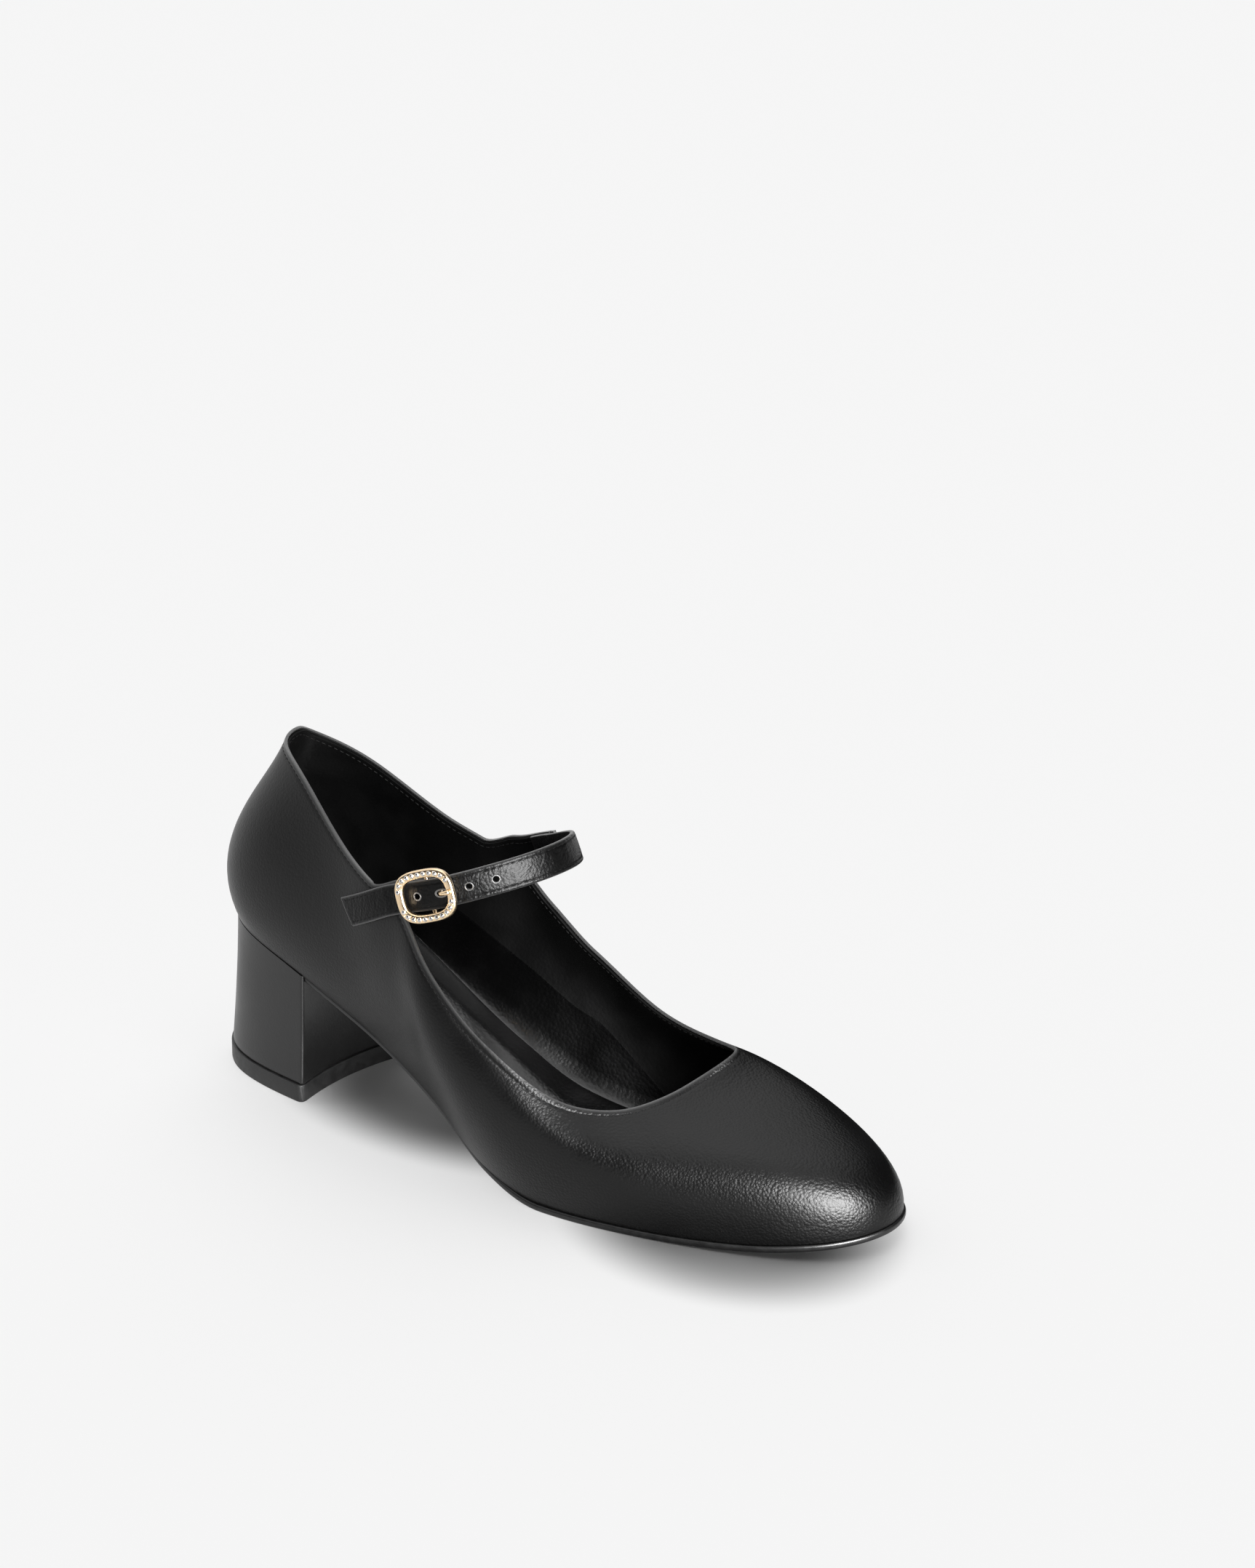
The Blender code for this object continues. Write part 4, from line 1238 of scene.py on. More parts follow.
@dataclass(frozen=True)
class Paper:
    """Pale floor paper that glows evenly, as if lit from below, apart from painted shadows: dim ovals under
    the shoe where its glow fades.
    """

    name: str
    tone: float = 0.33
    glow: float = 0.61
    dimmest: float = 0.03
    shadow_ovals: tuple[ShadowOval, ...] = (ShadowOval(0.052, 0.004, 0.052, 0.030), ShadowOval(0.172, -0.006, 0.044, 0.034))

    def make(self) -> Material:
        """Build the material.

        Returns:
            The paper.
        """
        shader = Shader(self.name)
        shader.set(Base_Color=(self.tone, self.tone, self.tone, 1.0), Roughness=0.9,
                   Specular_IOR_Level=0.0, Emission_Color=WHITE)
        ways = []
        for shade_oval in self.shadow_ovals:
            squares = []
            for axis, middle, size in (("X", shade_oval.x, shade_oval.long), ("Y", shade_oval.y, shade_oval.wide)):
                away = shader.combined("ADD", shader.axis(axis), -middle)
                away = shader.combined("MULTIPLY", away, 1.0 / size)
                squares.append(shader.combined("MULTIPLY", away, away))
            ways.append(shader.combined("ADD", *squares))
        closest = shader.combined("MINIMUM", *ways)
        # Painted shadow: the glow falls to its dimmest inside each oval under the shoe.
        shader.set(Emission_Strength=shader.between(closest, 0.3, 1.9, self.dimmest, self.glow))
        return shader.material


@dataclass(frozen=True)
class Finishes:
    """Every finish of the shoe and its floor."""

    # The edge colours paint a highlight along the edges of the nappa and of the strap.
    nappa: Leather = Leather("black_nappa", edge=(0.24, 0.24, 0.24))
    strap: Leather = Leather("strap_leather", Grain.CREASED, (0.004, 0.004, 0.0042), spread=0.06,
                             depth=0.00009, shine=0.14, edge=(0.20, 0.20, 0.20))
    insole: Leather = Leather("glossy_insole", Grain.PEBBLED, (0.003, 0.003, 0.0032), 0.23, 0.06,
                              900.0, 0.00006, 0.6, 0.45, 0.18)
    lining: Leather = Leather("lining_leather", Grain.PEBBLED, (0.002, 0.002, 0.0021), 0.5, 0.1,
                              900.0, 0.00004, 0.12)
    heel: Leather = Leather("heel_leather", tone=(0.005, 0.005, 0.0052), spread=0.06,
                            depth=0.00004, shine=0.52)
    sole_edge: Plain = Plain("sole_edge", (0.008, 0.008, 0.0085), 0.36)
    top_piece: Plain = Plain("top_piece_rubber", (0.008, 0.008, 0.0083), 0.5, depth=0.00003)
    gold: Plain = Plain("light_gold", (0.83, 0.64, 0.42), 0.22, metal=1.0, mottle=0.03,
                        scale=300.0, depth=0.0)
    stone: Plain = Plain("crystal", (0.62, 0.60, 0.58), 0.05, shine=1.0, metal=0.8, mottle=0.02,
                         depth=0.0, glass=2.0)
    dark_thread: Plain = Plain("dark_thread", (0.004, 0.004, 0.0042), 0.7, shine=0.15,
                               scale=3000.0, depth=0.00005)
    hole_rim: Plain = Plain("bare_hole_rim", (0.32, 0.32, 0.32), 0.35, shine=0.6,
                            scale=3000.0, depth=0.00003)
    paper: Paper = Paper("floor_paper")
    card: Plain = Plain("black_card", (0.003, 0.003, 0.003), 0.9, shine=0.0, depth=0.0)


FINISHES = Finishes()


def dress(piece: Thing, finish: Leather | Plain | Paper) -> Thing:
    """Give a whole piece one finish.

    Args:
        piece: the object.
        finish: the finish.

    Returns:
        The same object.
    """
    piece.data.materials.clear()
    piece.data.materials.append(finish.make())
    return piece


def triangles(piece: Thing) -> int:
    """Count a piece's triangles."""
    return sum(len(face.vertices) - 2 for face in piece.data.polygons)


def ship(piece: Thing, stands_for: str = "") -> Thing:
    """Fix a finished piece to the shoe and report it.

    Args:
        piece: the object.
        stands_for: the CAD node that it replaces, if it does.

    Returns:
        The same object.
    """
    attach(piece, BODY)
    if stands_for:
        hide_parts(stands_for)
    LOG.info("%s: %d triangles", piece.name, triangles(piece))
    return piece


@dataclass(frozen=True)
class Crease:
    """A soft fold in the leather, at a listed place."""

    at: float
    inner: bool
    share: float
    length: float
    width: float
    depth: float
    turn: float


CREASES = (
    Crease(0.70, False, 0.42, 0.020, 0.0034, 0.00016, 62.0),
    Crease(0.745, False, 0.60, 0.017, 0.0030, -0.00013, 48.0),
    Crease(0.64, False, 0.30, 0.024, 0.0042, 0.00014, 70.0),
    Crease(0.56, False, 0.52, 0.026, 0.0050, -0.00014, 80.0),
    Crease(0.44, False, 0.40, 0.030, 0.0060, 0.00016, 84.0),
    Crease(0.33, False, 0.62, 0.022, 0.0050, -0.00014, 60.0),
    Crease(0.18, False, 0.35, 0.024, 0.0060, 0.00014, 20.0),
    Crease(0.86, False, 0.86, 0.018, 0.0030, 0.00011, 30.0),
    Crease(0.66, True, 0.45, 0.022, 0.0038, 0.00014, 64.0),
    Crease(0.52, True, 0.50, 0.024, 0.0050, -0.00014, 76.0),
    Crease(0.40, True, 0.58, 0.026, 0.0058, 0.00014, 82.0),
    Crease(0.22, True, 0.44, 0.022, 0.0050, -0.00013, 35.0),
)


@dataclass
class Upper:
    """The vamp and quarters, lasted as one skin, with their lining and stitches."""

    last: Last
    path: StrapPath
    columns: int = 264
    rows: int = 24
    leather: float = 0.0009
    lining: float = 0.00072
    lining_gap: float = 0.00006
    lining_drop: float = 0.0005
    stitch_in: float = 0.0020
    groove: float = 0.00016
    groove_width: float = 0.00034
    ear_length: float = 0.0180
    ear_fillets: tuple[float, float] = (0.0050, 0.0020)
    extension_fillets: tuple[float, float] = (0.0047, 0.0047)
    fillet_run: float = 2.8
    edge_depths: tuple[float, ...] = (0.0, 0.00035, 0.0008, 0.0013, 0.0017, 0.0020, 0.0023, 0.0028)
    roll: float = 0.00007
    unevenness: float = 0.00009
    line_step: float = 0.0004
    shortest_line: int = 60
    stitches: Row = Row(Repeat.STITCH, 0.00205, 0.00150, 0.00036, 0.00030, 3, 0.00015)

    def offsets(self, fillets: tuple[float, float]) -> Points:
        """Distances along the topline of the columns of a rising end, close together at its edges.

        Args:
            fillets: its widening at the root, at the back and in front.

        Returns:
            The distances, with the root's own in the middle.
        """
        sides = []
        for fillet in fillets:
            reach = self.path.width / 2.0 + fillet
            close = [reach - depth for depth in self.edge_depths]
            sides.append(close + list(np.linspace(close[-1], 0.0, 7)[1:-1]))
        return np.array([-place for place in sides[0]] + [0.0] + sides[1][::-1])

    def angles(self) -> tuple[Points, list[list[float]]]:
        """Angles of the columns round the shoe.

        Returns:
            All of them in order, and those of the two rising ends.
        """
        ends = []
        for root, fillets in ((self.path.root_outer, self.ear_fillets),
                              (self.path.root_inner, self.extension_fillets)):
            ends.append([self.last.along_topline(root, distance) for distance in self.offsets(fillets)])
        step = FULL_TURN / self.columns
        angles = [number * step for number in range(self.columns)]
        angles = [angle for angle in angles
                  if all(angle < min(end) - 0.4 * step or angle > max(end) + 0.4 * step for end in ends)]
        return np.array(sorted(angles + ends[0] + ends[1])), ends

    def shares(self, angles: Points) -> Points:
        """Shares of the way up of every row, closest below the topline.

        Args:
            angles: the columns.

        Returns:
            One row of shares for each row of points.
        """
        foot, top = self.last.feather_line(angles), self.last.topline(angles)
        reach = np.linalg.norm(top - foot, axis=-1)
        speed = 3.0 * self.last.column("crown", angles) * reach
        depths = [0.0042, 0.0034] + list(self.edge_depths[::-1])
        close = [1.0 - depth / speed for depth in depths]
        even = [close[0] * share for share in np.linspace(0.0, 1.0, self.rows + 1)[:-1]]
        return np.array(even + close)

    def rising_end(self, sheet: Sheet, columns: Sequence[int], root: float, length: float,
                   fillets: tuple[float, float]) -> None:
        """Carry the upper on from the topline along the strap's line.

        Args:
            sheet: the upper's sheet.
            columns: its points along the root.
            root: place of the root on the strap's line.
            length: how far the end reaches.
            fillets: its widening at the root, at the back and in front.
        """
        towards = 1.0 if root == 0.0 else -1.0
        offsets = self.offsets(fillets)
        strap_half = self.path.width / 2.0
        middle = sheet.points[columns[len(columns) // 2]]
        even = np.arange(0.0026, length - self.edge_depths[-1], 0.0009)
        close = [length - depth for depth in self.edge_depths[::-1]]
        distances = [0.0002, 0.0006, 0.0012, 0.0018, *even, *close]
        previous = list(columns)
        for distance in distances:
            point, _, normal, side = self.path.frame(root + towards * distance)
            narrowings = []
            for fillet in fillets:
                left = max(0.0, 1.0 - distance / (self.fillet_run * fillet))
                widening = fillet * (1.0 - math.sqrt(1.0 - left ** 2))
                narrowings.append((strap_half + widening) / (strap_half + fillet))
            share = float(smooth_step(distance / (1.28 * strap_half)))
            current = []
            for here, offset in enumerate(offsets):
                start = sheet.points[columns[here]]
                narrowing = narrowings[0] if offset < 0.0 else narrowings[1]
                place = point + (side * offset * share + (start - middle) * (1.0 - share)) * narrowing
                turned = unit(normal * share + sheet.normals[columns[here]] * (1.0 - share))
                current.append(sheet.add(place, turned))
            for here in range(len(columns) - 1):
                face = (previous[here], previous[here + 1], current[here + 1], current[here])
                sheet.faces.append(face if columns[0] < columns[-1] else face[::-1])
            previous = current

    def sheet(self) -> Sheet:
        """Lay out the outer face.

        Returns:
            The sheet with its two rising ends.
        """
        angles, ends = self.angles()
        count = len(angles)
        sheet = Sheet(count)
        for shares in self.shares(angles):
            for point, normal in zip(self.last.surface(angles, shares), self.last.normal(angles, shares)):
                sheet.add(point, normal)
        rows = len(sheet.points) // count
        sheet.faces.extend(tube_faces(rows, count)[:-2])
        top = (rows - 1) * count
        lookup = {round(float(angle), 9): top + number for number, angle in enumerate(angles)}
        roots = [[lookup[round(float(angle), 9)] for angle in end] for end in ends]
        self.rising_end(sheet, roots[0], 0.0, self.ear_length, self.ear_fillets)
        self.rising_end(sheet, roots[1], self.path.arch, self.path.extension_length, self.extension_fillets)
        return sheet

    def creased(self, points: Points, normals: Points) -> Points:
        """Depth of the listed creases and of the leather's slow unevenness.

        Args:
            points: the outer face's points.
            normals: its outward directions.

        Returns:
            One height for each point.
        """
        height = np.zeros(len(points))
        for crease in CREASES:
            angle = loop_angle(crease.at, crease.inner)
            middle = self.last.surface(angle, crease.share)
            normal = self.last.normal(angle, crease.share)
            level = unit(np.cross(UP, normal))
            rise = np.cross(normal, level)
            turn = math.radians(crease.turn)
            along = level * math.cos(turn) + rise * math.sin(turn)
            across = np.cross(normal, along)
            away = points - middle
            facing = np.clip(normals @ normal, 0.0, 1.0)
            shape = np.exp(-((away @ along) / crease.length) ** 2 - ((away @ across) / crease.width) ** 2)
            height += crease.depth * shape * facing
        slow = np.array([noise.noise(Vector(point) * 42.0) for point in points])
        return height + slow * self.unevenness

    def make(self) -> list[Thing]:
        """Make the skin, the lining and the stitches.

        Returns:
            The pieces.
        """
        sheet = self.sheet()
        points, normals = np.array(sheet.points), np.array(sheet.normals)
        depths = nearest(points, sheet.edge_samples())[1]
        groove = -self.groove * bell(depths, self.groove_width, self.stitch_in)
        roll = self.roll * bell(depths, 0.0006, 0.0009)
        inland = smooth_step((depths - 0.003) / 0.006)
        feather = smooth_step((points[:, 2] - self.last.bottom_height(points[:, 0])) / 0.008)
        height = groove + roll + self.creased(points, normals) * inland * feather
        shaped = points + normals * height[:, None]
        skin = make_mesh("upper_skin", shaped, sheet.faces)
        # Painted highlight: the colour lightens at the topline's folded edge, and faintly just inside it,
        # where light catches the fold.
        mark(skin, 0.75 * bell(depths, 0.0006) + 0.05 * bell(depths, 0.0017))
        thicken(dress(skin, FINISHES.nappa), self.leather, 0.00028)
        inside = self.leather + self.lining_gap
        kept = [face for face in sheet.faces if all(depths[corner] >= self.lining_drop for corner in face)
                or max(face) < sheet.foot_count * 3]
        lining = make_mesh("upper_lining", points - normals * inside, kept)
        drop_loose(lining)
        thicken(dress(lining, FINISHES.lining), self.lining, 0.00018, 2)
        lines = contours(shaped, sheet.faces, depths, self.stitch_in)
        lines = [evened(line, self.line_step) for line in lines if len(line) > self.shortest_line]
        thread = self.stitches.lay("topline_stitches", lines, FINISHES.dark_thread.make())
        through = inside + self.lining + 0.00002
        back = [line - normals[nearest(line, points)[0]] * through for line in lines]
        inner = self.stitches.lay("lining_stitches", back, thread.data.materials[0])
        return [ship(skin, "upper")] + [ship(piece) for piece in (lining, thread, inner)]


@dataclass
class Insole:
    """The glossy insole with its raised inner arch."""

    last: Last
    wall: float = 0.0018
    thickness: float = 0.0024
    pad: float = 0.0016
    pad_at: float = 0.42
    pad_length: float = 0.080
    wing: float = 0.36
    wing_from: float = 0.012
    wing_to: float = 0.132
    wing_taper: float = 0.030
    wing_wall: float = 0.0004
    wing_steps: int = 18
    wing_rise: float = 0.0035
    edge: float = 0.0006
    rows: int = 220
    columns: int = 56

    def make(self) -> list[Thing]:
        """Make the insole.

        Returns:
            The pieces.
        """
        last = self.last
        inset = self.wall + 2.0 * last.clearance
        angles = np.linspace(0.07, HALF_TURN - 0.07, self.rows)
        outer = last.inset_line(angles, inset)
        inner = last.inset_line(FULL_TURN - angles, inset)
        middle = self.pad_at * last.length - last.back
        shares = (1.0 - np.cos(np.linspace(0.0, HALF_TURN, self.columns + 1))) / 2.0
        points = []
        for angle, start, end in zip(FULL_TURN - angles, outer, inner):
            width = float(np.linalg.norm(end - start))
            for share in shares:
                point = start + (end - start) * share
                swell = (1.0 - min(1.0, abs(point[0] - middle) / self.pad_length) ** 2) ** 1.5
                raised = swell * self.pad * float(smooth_step((share - 0.62) / 0.22))
                edge = self.edge * max(0.0, 1.0 - share * width / 0.0016) ** 2
                point[2] = last.bottom_height(point[0]) + self.thickness + raised - edge
                points.append(point)
            corner = points[-1]
            rises = smooth_step((corner[0] - self.wing_from) / self.wing_taper)
            falls = smooth_step((self.wing_to - corner[0]) / self.wing_taper)
            steps = np.linspace(0.0, 1.0, self.wing_steps + 1)[1:]
            climb = 0.04 + steps * max(0.02, self.wing * float(rises * falls))
            around = np.full(len(steps), angle)
            face, normal = last.surface(around, climb), last.normal(around, climb)
            lift = np.clip((face[:, 2] - corner[2]) / self.wing_rise, 0.0, 1.0)[:, None]
            front = face - normal * (inset - 0.0002)
            front = corner + (front - corner) * smooth_step(lift)
            front[:, 2] = np.maximum(front[:, 2], corner[2])
            points.extend(front)
            points.extend((front + normal * self.wing_wall * lift)[::-1])
            for share in (1.0, 0.5, 0.0):
                point = start + (end - start) * share
                point[2] = last.bottom_height(point[0]) + last.clearance / 2.0
                points.append(point)
        faces = tube_faces(self.rows, len(points) // self.rows)
        piece = make_mesh("insole_face", points, faces, recalc=True)
        return [ship(settle(dress(piece, FINISHES.insole), 50.0), "insole")]


@dataclass
class Heel:
    """The covered block heel and the rubber top piece that it stands on."""

    last: Last
    flare: float = 0.0026
    hollow: float = 0.0042
    corner: float = 0.0012
    top_piece_height: float = 0.0060
    top_piece_proud: float = 0.0005
    top_piece_round: float = 0.0030
    edge: float = 0.0006

    def outline(self, spread: float, rounding: float, steps: int = 90, arc: int = 36,
                bends: int = 8) -> Points:
        """Outline of the heel seen from above.

        Args:
            spread: how far its sides are spread outwards.
            rounding: how far back from each front corner its rounding starts.
            steps: points along the back and the sides.
            arc: points along the breast.
            bends: points round each corner.

        Returns:
            The closed outline.
        """
        last = self.last
        turn = math.tan(math.radians(last.breast_turn))
        corner_outer = loop_angle(last.heel_depth / last.length)
        corner_inner = loop_angle((last.heel_depth + turn * 0.6 * last.ball_width) / last.length)
        angles = np.linspace(-corner_inner, corner_outer, steps)
        side = (last.feather_line(angles) + last.outward(angles) * spread)[:, :2]
        start, end = side[-1], side[0]
        chord = end - start
        forward = np.array([chord[1], -chord[0]]) / np.linalg.norm(chord)
        start, end = start + forward * spread * 0.5, end + forward * spread * 0.5
        shares = np.linspace(0.0, 1.0, arc + 1)
        bow = 4.0 * self.hollow * shares * (1.0 - shares)
        breast = start + chord * shares[:, None] - forward * bow[:, None]
        outline = []
        first = int(np.argmax(np.linalg.norm(side[::-1] - start, axis=1) > rounding))
        last_point = int(np.argmax(np.linalg.norm(side - end, axis=1) > rounding))
        skip = int(np.argmax(np.linalg.norm(breast - start, axis=1) > rounding))
        for corner, before, after in ((start, side[-1 - first], breast[skip]),
                                      (end, breast[-1 - skip], side[last_point])):
            back = corner + unit(before - corner) * rounding
            ahead = corner + unit(after - corner) * rounding
            part = np.linspace(0.0, 1.0, bends + 1)[:, None]
            outline.append(back * (1 - part) ** 2 + 2.0 * corner * part * (1 - part) + ahead * part ** 2)
        return np.vstack([side[last_point:len(side) - first], outline[0],
                          breast[skip:arc + 1 - skip], outline[1]])

    def block(self, name: str, outlines: Sequence[Points], heights: Sequence[float]) -> Thing:
        """Make a closed block through outlines."""
        points = [(x, y, height) for outline, height in zip(outlines, heights) for x, y in outline]
        return make_mesh(name, points, tube_faces(len(outlines), len(outlines[0])), recalc=True)

    def make(self) -> list[Thing]:
        """Make the block and the top piece.

        Returns:
            The pieces.
        """
        last = self.last
        low = self.top_piece_height + last.clearance
        high = last.heel_height * 1.2
        heights = [low, low + 0.00025] + list(np.linspace(low + 0.0008, high, 26))
        outlines = []
        for number, height in enumerate(heights):
            rest = max(0.0, 1.0 - (height - low) / (last.heel_height - low))
            tuck = (0.00035, 0.0001)[number] if number < 2 else 0.0
            outlines.append(self.outline(self.flare * rest ** 1.5 - tuck, self.corner))
        block = self.block("heel_block", outlines, heights)
        reach = np.linspace(-0.02, 0.45, 120) * last.length - last.back
        profile = [(x, float(last.bottom_height(x)) - last.clearance) for x in reach]
        profile += [(reach[-1], high * 1.2), (reach[0], high * 1.2)]
        shape = [(x, y, z) for y in (-last.ball_width, last.ball_width) for x, z in profile]
        carve(block, make_mesh("last_tool", shape, tube_faces(2, len(profile)), recalc=True))
        dress(block, FINISHES.heel)
        spread = self.flare + self.top_piece_proud
        steps = ((0.0, 1.0), (0.15, 0.45), (0.45, 0.12), (1.0, 0.0))
        rings = [(self.edge * rise, self.edge * tuck) for rise, tuck in steps]
        rings += [(self.top_piece_height - self.edge * rise * 0.5, self.edge * tuck * 0.5)
                  for rise, tuck in steps[::-1]]
        outlines = [self.outline(spread - tuck, self.top_piece_round) for _, tuck in rings]
        top_piece = self.block("top_piece", outlines, [height for height, _ in rings])
        settle(dress(top_piece, FINISHES.top_piece), 35.0)
        return [ship(block, "heel"), ship(top_piece, "heel_top_piece")]


@dataclass
class Outsole:
    """The thin outsole, tucked in at the waist."""

    last: Last
    heel: Heel
    proud: float = 0.0007
    rounding: float = 0.0007
    steps: int = 300

    def margin(self, x: Points) -> Points:
        """How far the sole stands out past the feather line."""
        at = (np.asarray(x, float) + self.last.back) / self.last.length
        return self.proud * (2.0 * smooth_step((at - 0.46) / 0.14) - 1.0)

    def make(self) -> list[Thing]:
        """Make the sole.

        Returns:
            The pieces.
        """
        last = self.last
        angles = np.arange(self.steps) * FULL_TURN / self.steps
        base, away = last.feather_line(angles), last.outward(angles)
        quarter = np.linspace(0.0, HALF_TURN / 2.0, 4)
        rows = [(self.rounding * (math.sin(turn) - 1.0), self.rounding * (1.0 - math.cos(turn)))
                for turn in quarter]
        rows += [(self.rounding * (math.cos(turn) - 1.0),
                  last.sole_thickness - self.rounding * (1.0 - math.sin(turn))) for turn in quarter]
        points = []
        for margin, depth in rows:
            ring = base + away * (self.margin(base[:, 0]) + margin)[:, None]
            ring[:, 2] = last.bottom_height(ring[:, 0]) - last.clearance - depth
            points.extend(ring)
        sole = make_mesh("outsole_edge", points, slab_faces(len(rows), self.steps), recalc=True)
        seat = self.heel.outline(3.0 * last.clearance, self.heel.corner)
        tool = self.heel.block("seat_tool", [seat, seat], [-0.01, last.heel_height + 0.062])
        carve(sole, tool)
        return [ship(dress(sole, FINISHES.sole_edge), "outsole")]


@dataclass
class Strap:
    """The strap with its edge stitches and its rimmed holes."""

    path: StrapPath
    hole_width: float = 0.0022
    hole_spacing: float = 0.0080
    holes_behind: int = 1
    holes_ahead: int = 2
    stitch_in: float = 0.0013
    groove: float = 0.00014
    groove_width: float = 0.00022
    step: float = 0.0006
    inwards: tuple[float, ...] = (0.0, 0.00012, 0.0003, 0.0006, 0.00095, 0.00115, 0.0013, 0.00145,
                                  0.00165, 0.0021, 0.003, 0.0039)
    ring_count: int = 28
    rim_count: int = 8
    stitches: Row = Row(Repeat.STITCH, 0.00205, 0.00145, 0.00034, 0.00026, 5, 0.00015)

    def section(self) -> list[tuple[float, float]]:
        """Half-round edged section with a stitch groove near each edge.

        Returns:
            Pairs of a distance across and a height through.
        """
        half, thick = self.path.width / 2.0, self.path.thickness
        top = []
        for inward in self.inwards:
            rounding = 0.00045 * max(0.0, 1.0 - inward / 0.0006) ** 2
            cut = self.groove * float(bell(inward, self.groove_width, self.stitch_in))
            crown = 0.00010 * (1.0 - (inward / half - 1.0) ** 2)
            top.append((half - inward, thick - rounding - cut + crown - 0.00008))
        upper = top + [(0.0, thick + 0.00002)] + [(-across, height) for across, height in top[::-1]]
        lower = [(-half, 0.00045), (-half + 0.0002, 0.00012), (-half + 0.0006, 0.0),
                 (0.0, 0.0), (half - 0.0006, 0.0), (half - 0.0002, 0.00012), (half, 0.00045)]
        return lower + upper

    def wrinkle(self, place: float, across: float) -> float:
        """Fine wrinkles across the strap where it bends.

        Args:
            place: distance from the outer root.
            across: distance from the middle.

        Returns:
            A height.
        """
        bend = float(bell(place, 0.016, 0.058) + 0.35 * bell(place, 0.008, 0.030))
        ripple = noise.noise(Vector((place * 520.0, across * 130.0, 0.3)))
        soft = noise.noise(Vector((place * 150.0, across * 90.0, 4.1)))
        return bend * (0.00007 * ripple + 0.00005 * soft) + 0.00003 * soft

    def point(self, place: float, across: float, height: float) -> Points:
        """A point in the strap's own directions.

        Args:
            place: distance from the outer root.
            across: distance towards the lower edge.
            height: distance over the strap's inner face.

        Returns:
            The point.
        """
        path = self.path
        near_tip = max(0.0, 1.0 - (place - path.start) / 0.0088)
        shift = path.tip_slant * across / (path.width / 2.0) * near_tip
        point, _, normal, side = path.frame(place + shift)
        return point + side * across + normal * (path.lift(place) + height)

    def make(self) -> list[Thing]:
        """Make the strap, its stitches and the rims of its holes.

        Returns:
            The pieces.
        """
        path = self.path
        section = self.section()
        inner = np.arange(path.start + 0.0005, path.end - 0.0005, self.step)
        places = [path.start, path.start + 0.00015, *inner, path.end - 0.00015, path.end]
        points, edge_highlight = [], []
        for place in places:
            tip = min(place - path.start, path.end - place)
            shrink = 0.0004 * max(0.0, 1.0 - tip / 0.0004) ** 2
            for across, height in section:
                outside = smooth_step((height - path.thickness * 0.5) / (path.thickness * 0.4))
                rise = height * (1.0 - shrink / path.thickness) + shrink / 2.0
                rise += self.wrinkle(place, across) * float(outside)
                points.append(self.point(place, across, rise))
                inward = min(path.width / 2.0 - abs(across), tip)
                # Painted highlight: the top face lightens along the strap's edges and tip, where light
                # catches them, and faintly further in.
                rim_highlight = 0.7 * bell(inward, 0.00035) * float(height > 0.0004)
                edge_highlight.append(rim_highlight + 0.06 * bell(inward, 0.0011))
        strap = make_mesh("strap_band", points, tube_faces(len(places), len(section)), recalc=True)
        mark(strap, edge_highlight)
        rims = []
        for number in range(-self.holes_behind, self.holes_ahead + 1):
            place = path.buckle_place + path.prong_hole + number * self.hole_spacing
            rims.append(self.hole(strap, place, 1.6 if number == 0 else 1.0))
        dress(strap, FINISHES.strap)
        eyelets = dress(joined("strap_hole_rims", rims), FINISHES.hole_rim)
        reach, first = path.width / 2.0 - self.stitch_in, path.start + 0.0018
        along = np.arange(first, path.end - 0.011, 0.0004)
        lines = [np.array([self.point(place, across, path.thickness - 0.00014) for place in along])
                 for across in (-reach, reach)]
        lines.append(np.array([self.point(first, across, path.thickness - 0.0001)
                               for across in np.linspace(-1.0, 1.0, 20) * reach]))
        thread = self.stitches.lay("strap_stitches", lines, FINISHES.dark_thread.make())
        return [ship(strap, "strap"), ship(eyelets), ship(thread)]

    def hole(self, strap: Thing, place: float, slot: float) -> Shape:
        """Punch one hole and shape the worn rim round it.

        Args:
            strap: the band.
            place: the hole's place.
            slot: its length over its width.

        Returns:
            Points and faces of the rim.
        """
        half = self.hole_width / 2.0
        around = [(math.cos(turn) * slot, math.sin(turn)) for turn in turns(self.ring_count)]
        ring = [self.point(place + along * half, across * half, height)
                for height in (-0.0010, 0.0032) for along, across in around]
        carve(strap, make_mesh("hole_tool", ring, tube_faces(2, self.ring_count), recalc=True))
        points = []
        for along, across in around:
            for bend in turns(self.rim_count):
                reach = half + 0.00022 * math.cos(bend) + 0.00006
                height = self.path.thickness - 0.00002 + 0.00014 * math.sin(bend)
                points.append(self.point(place + along * reach, across * reach, height))
        return points, tube_faces(self.ring_count, self.rim_count, closed=True)


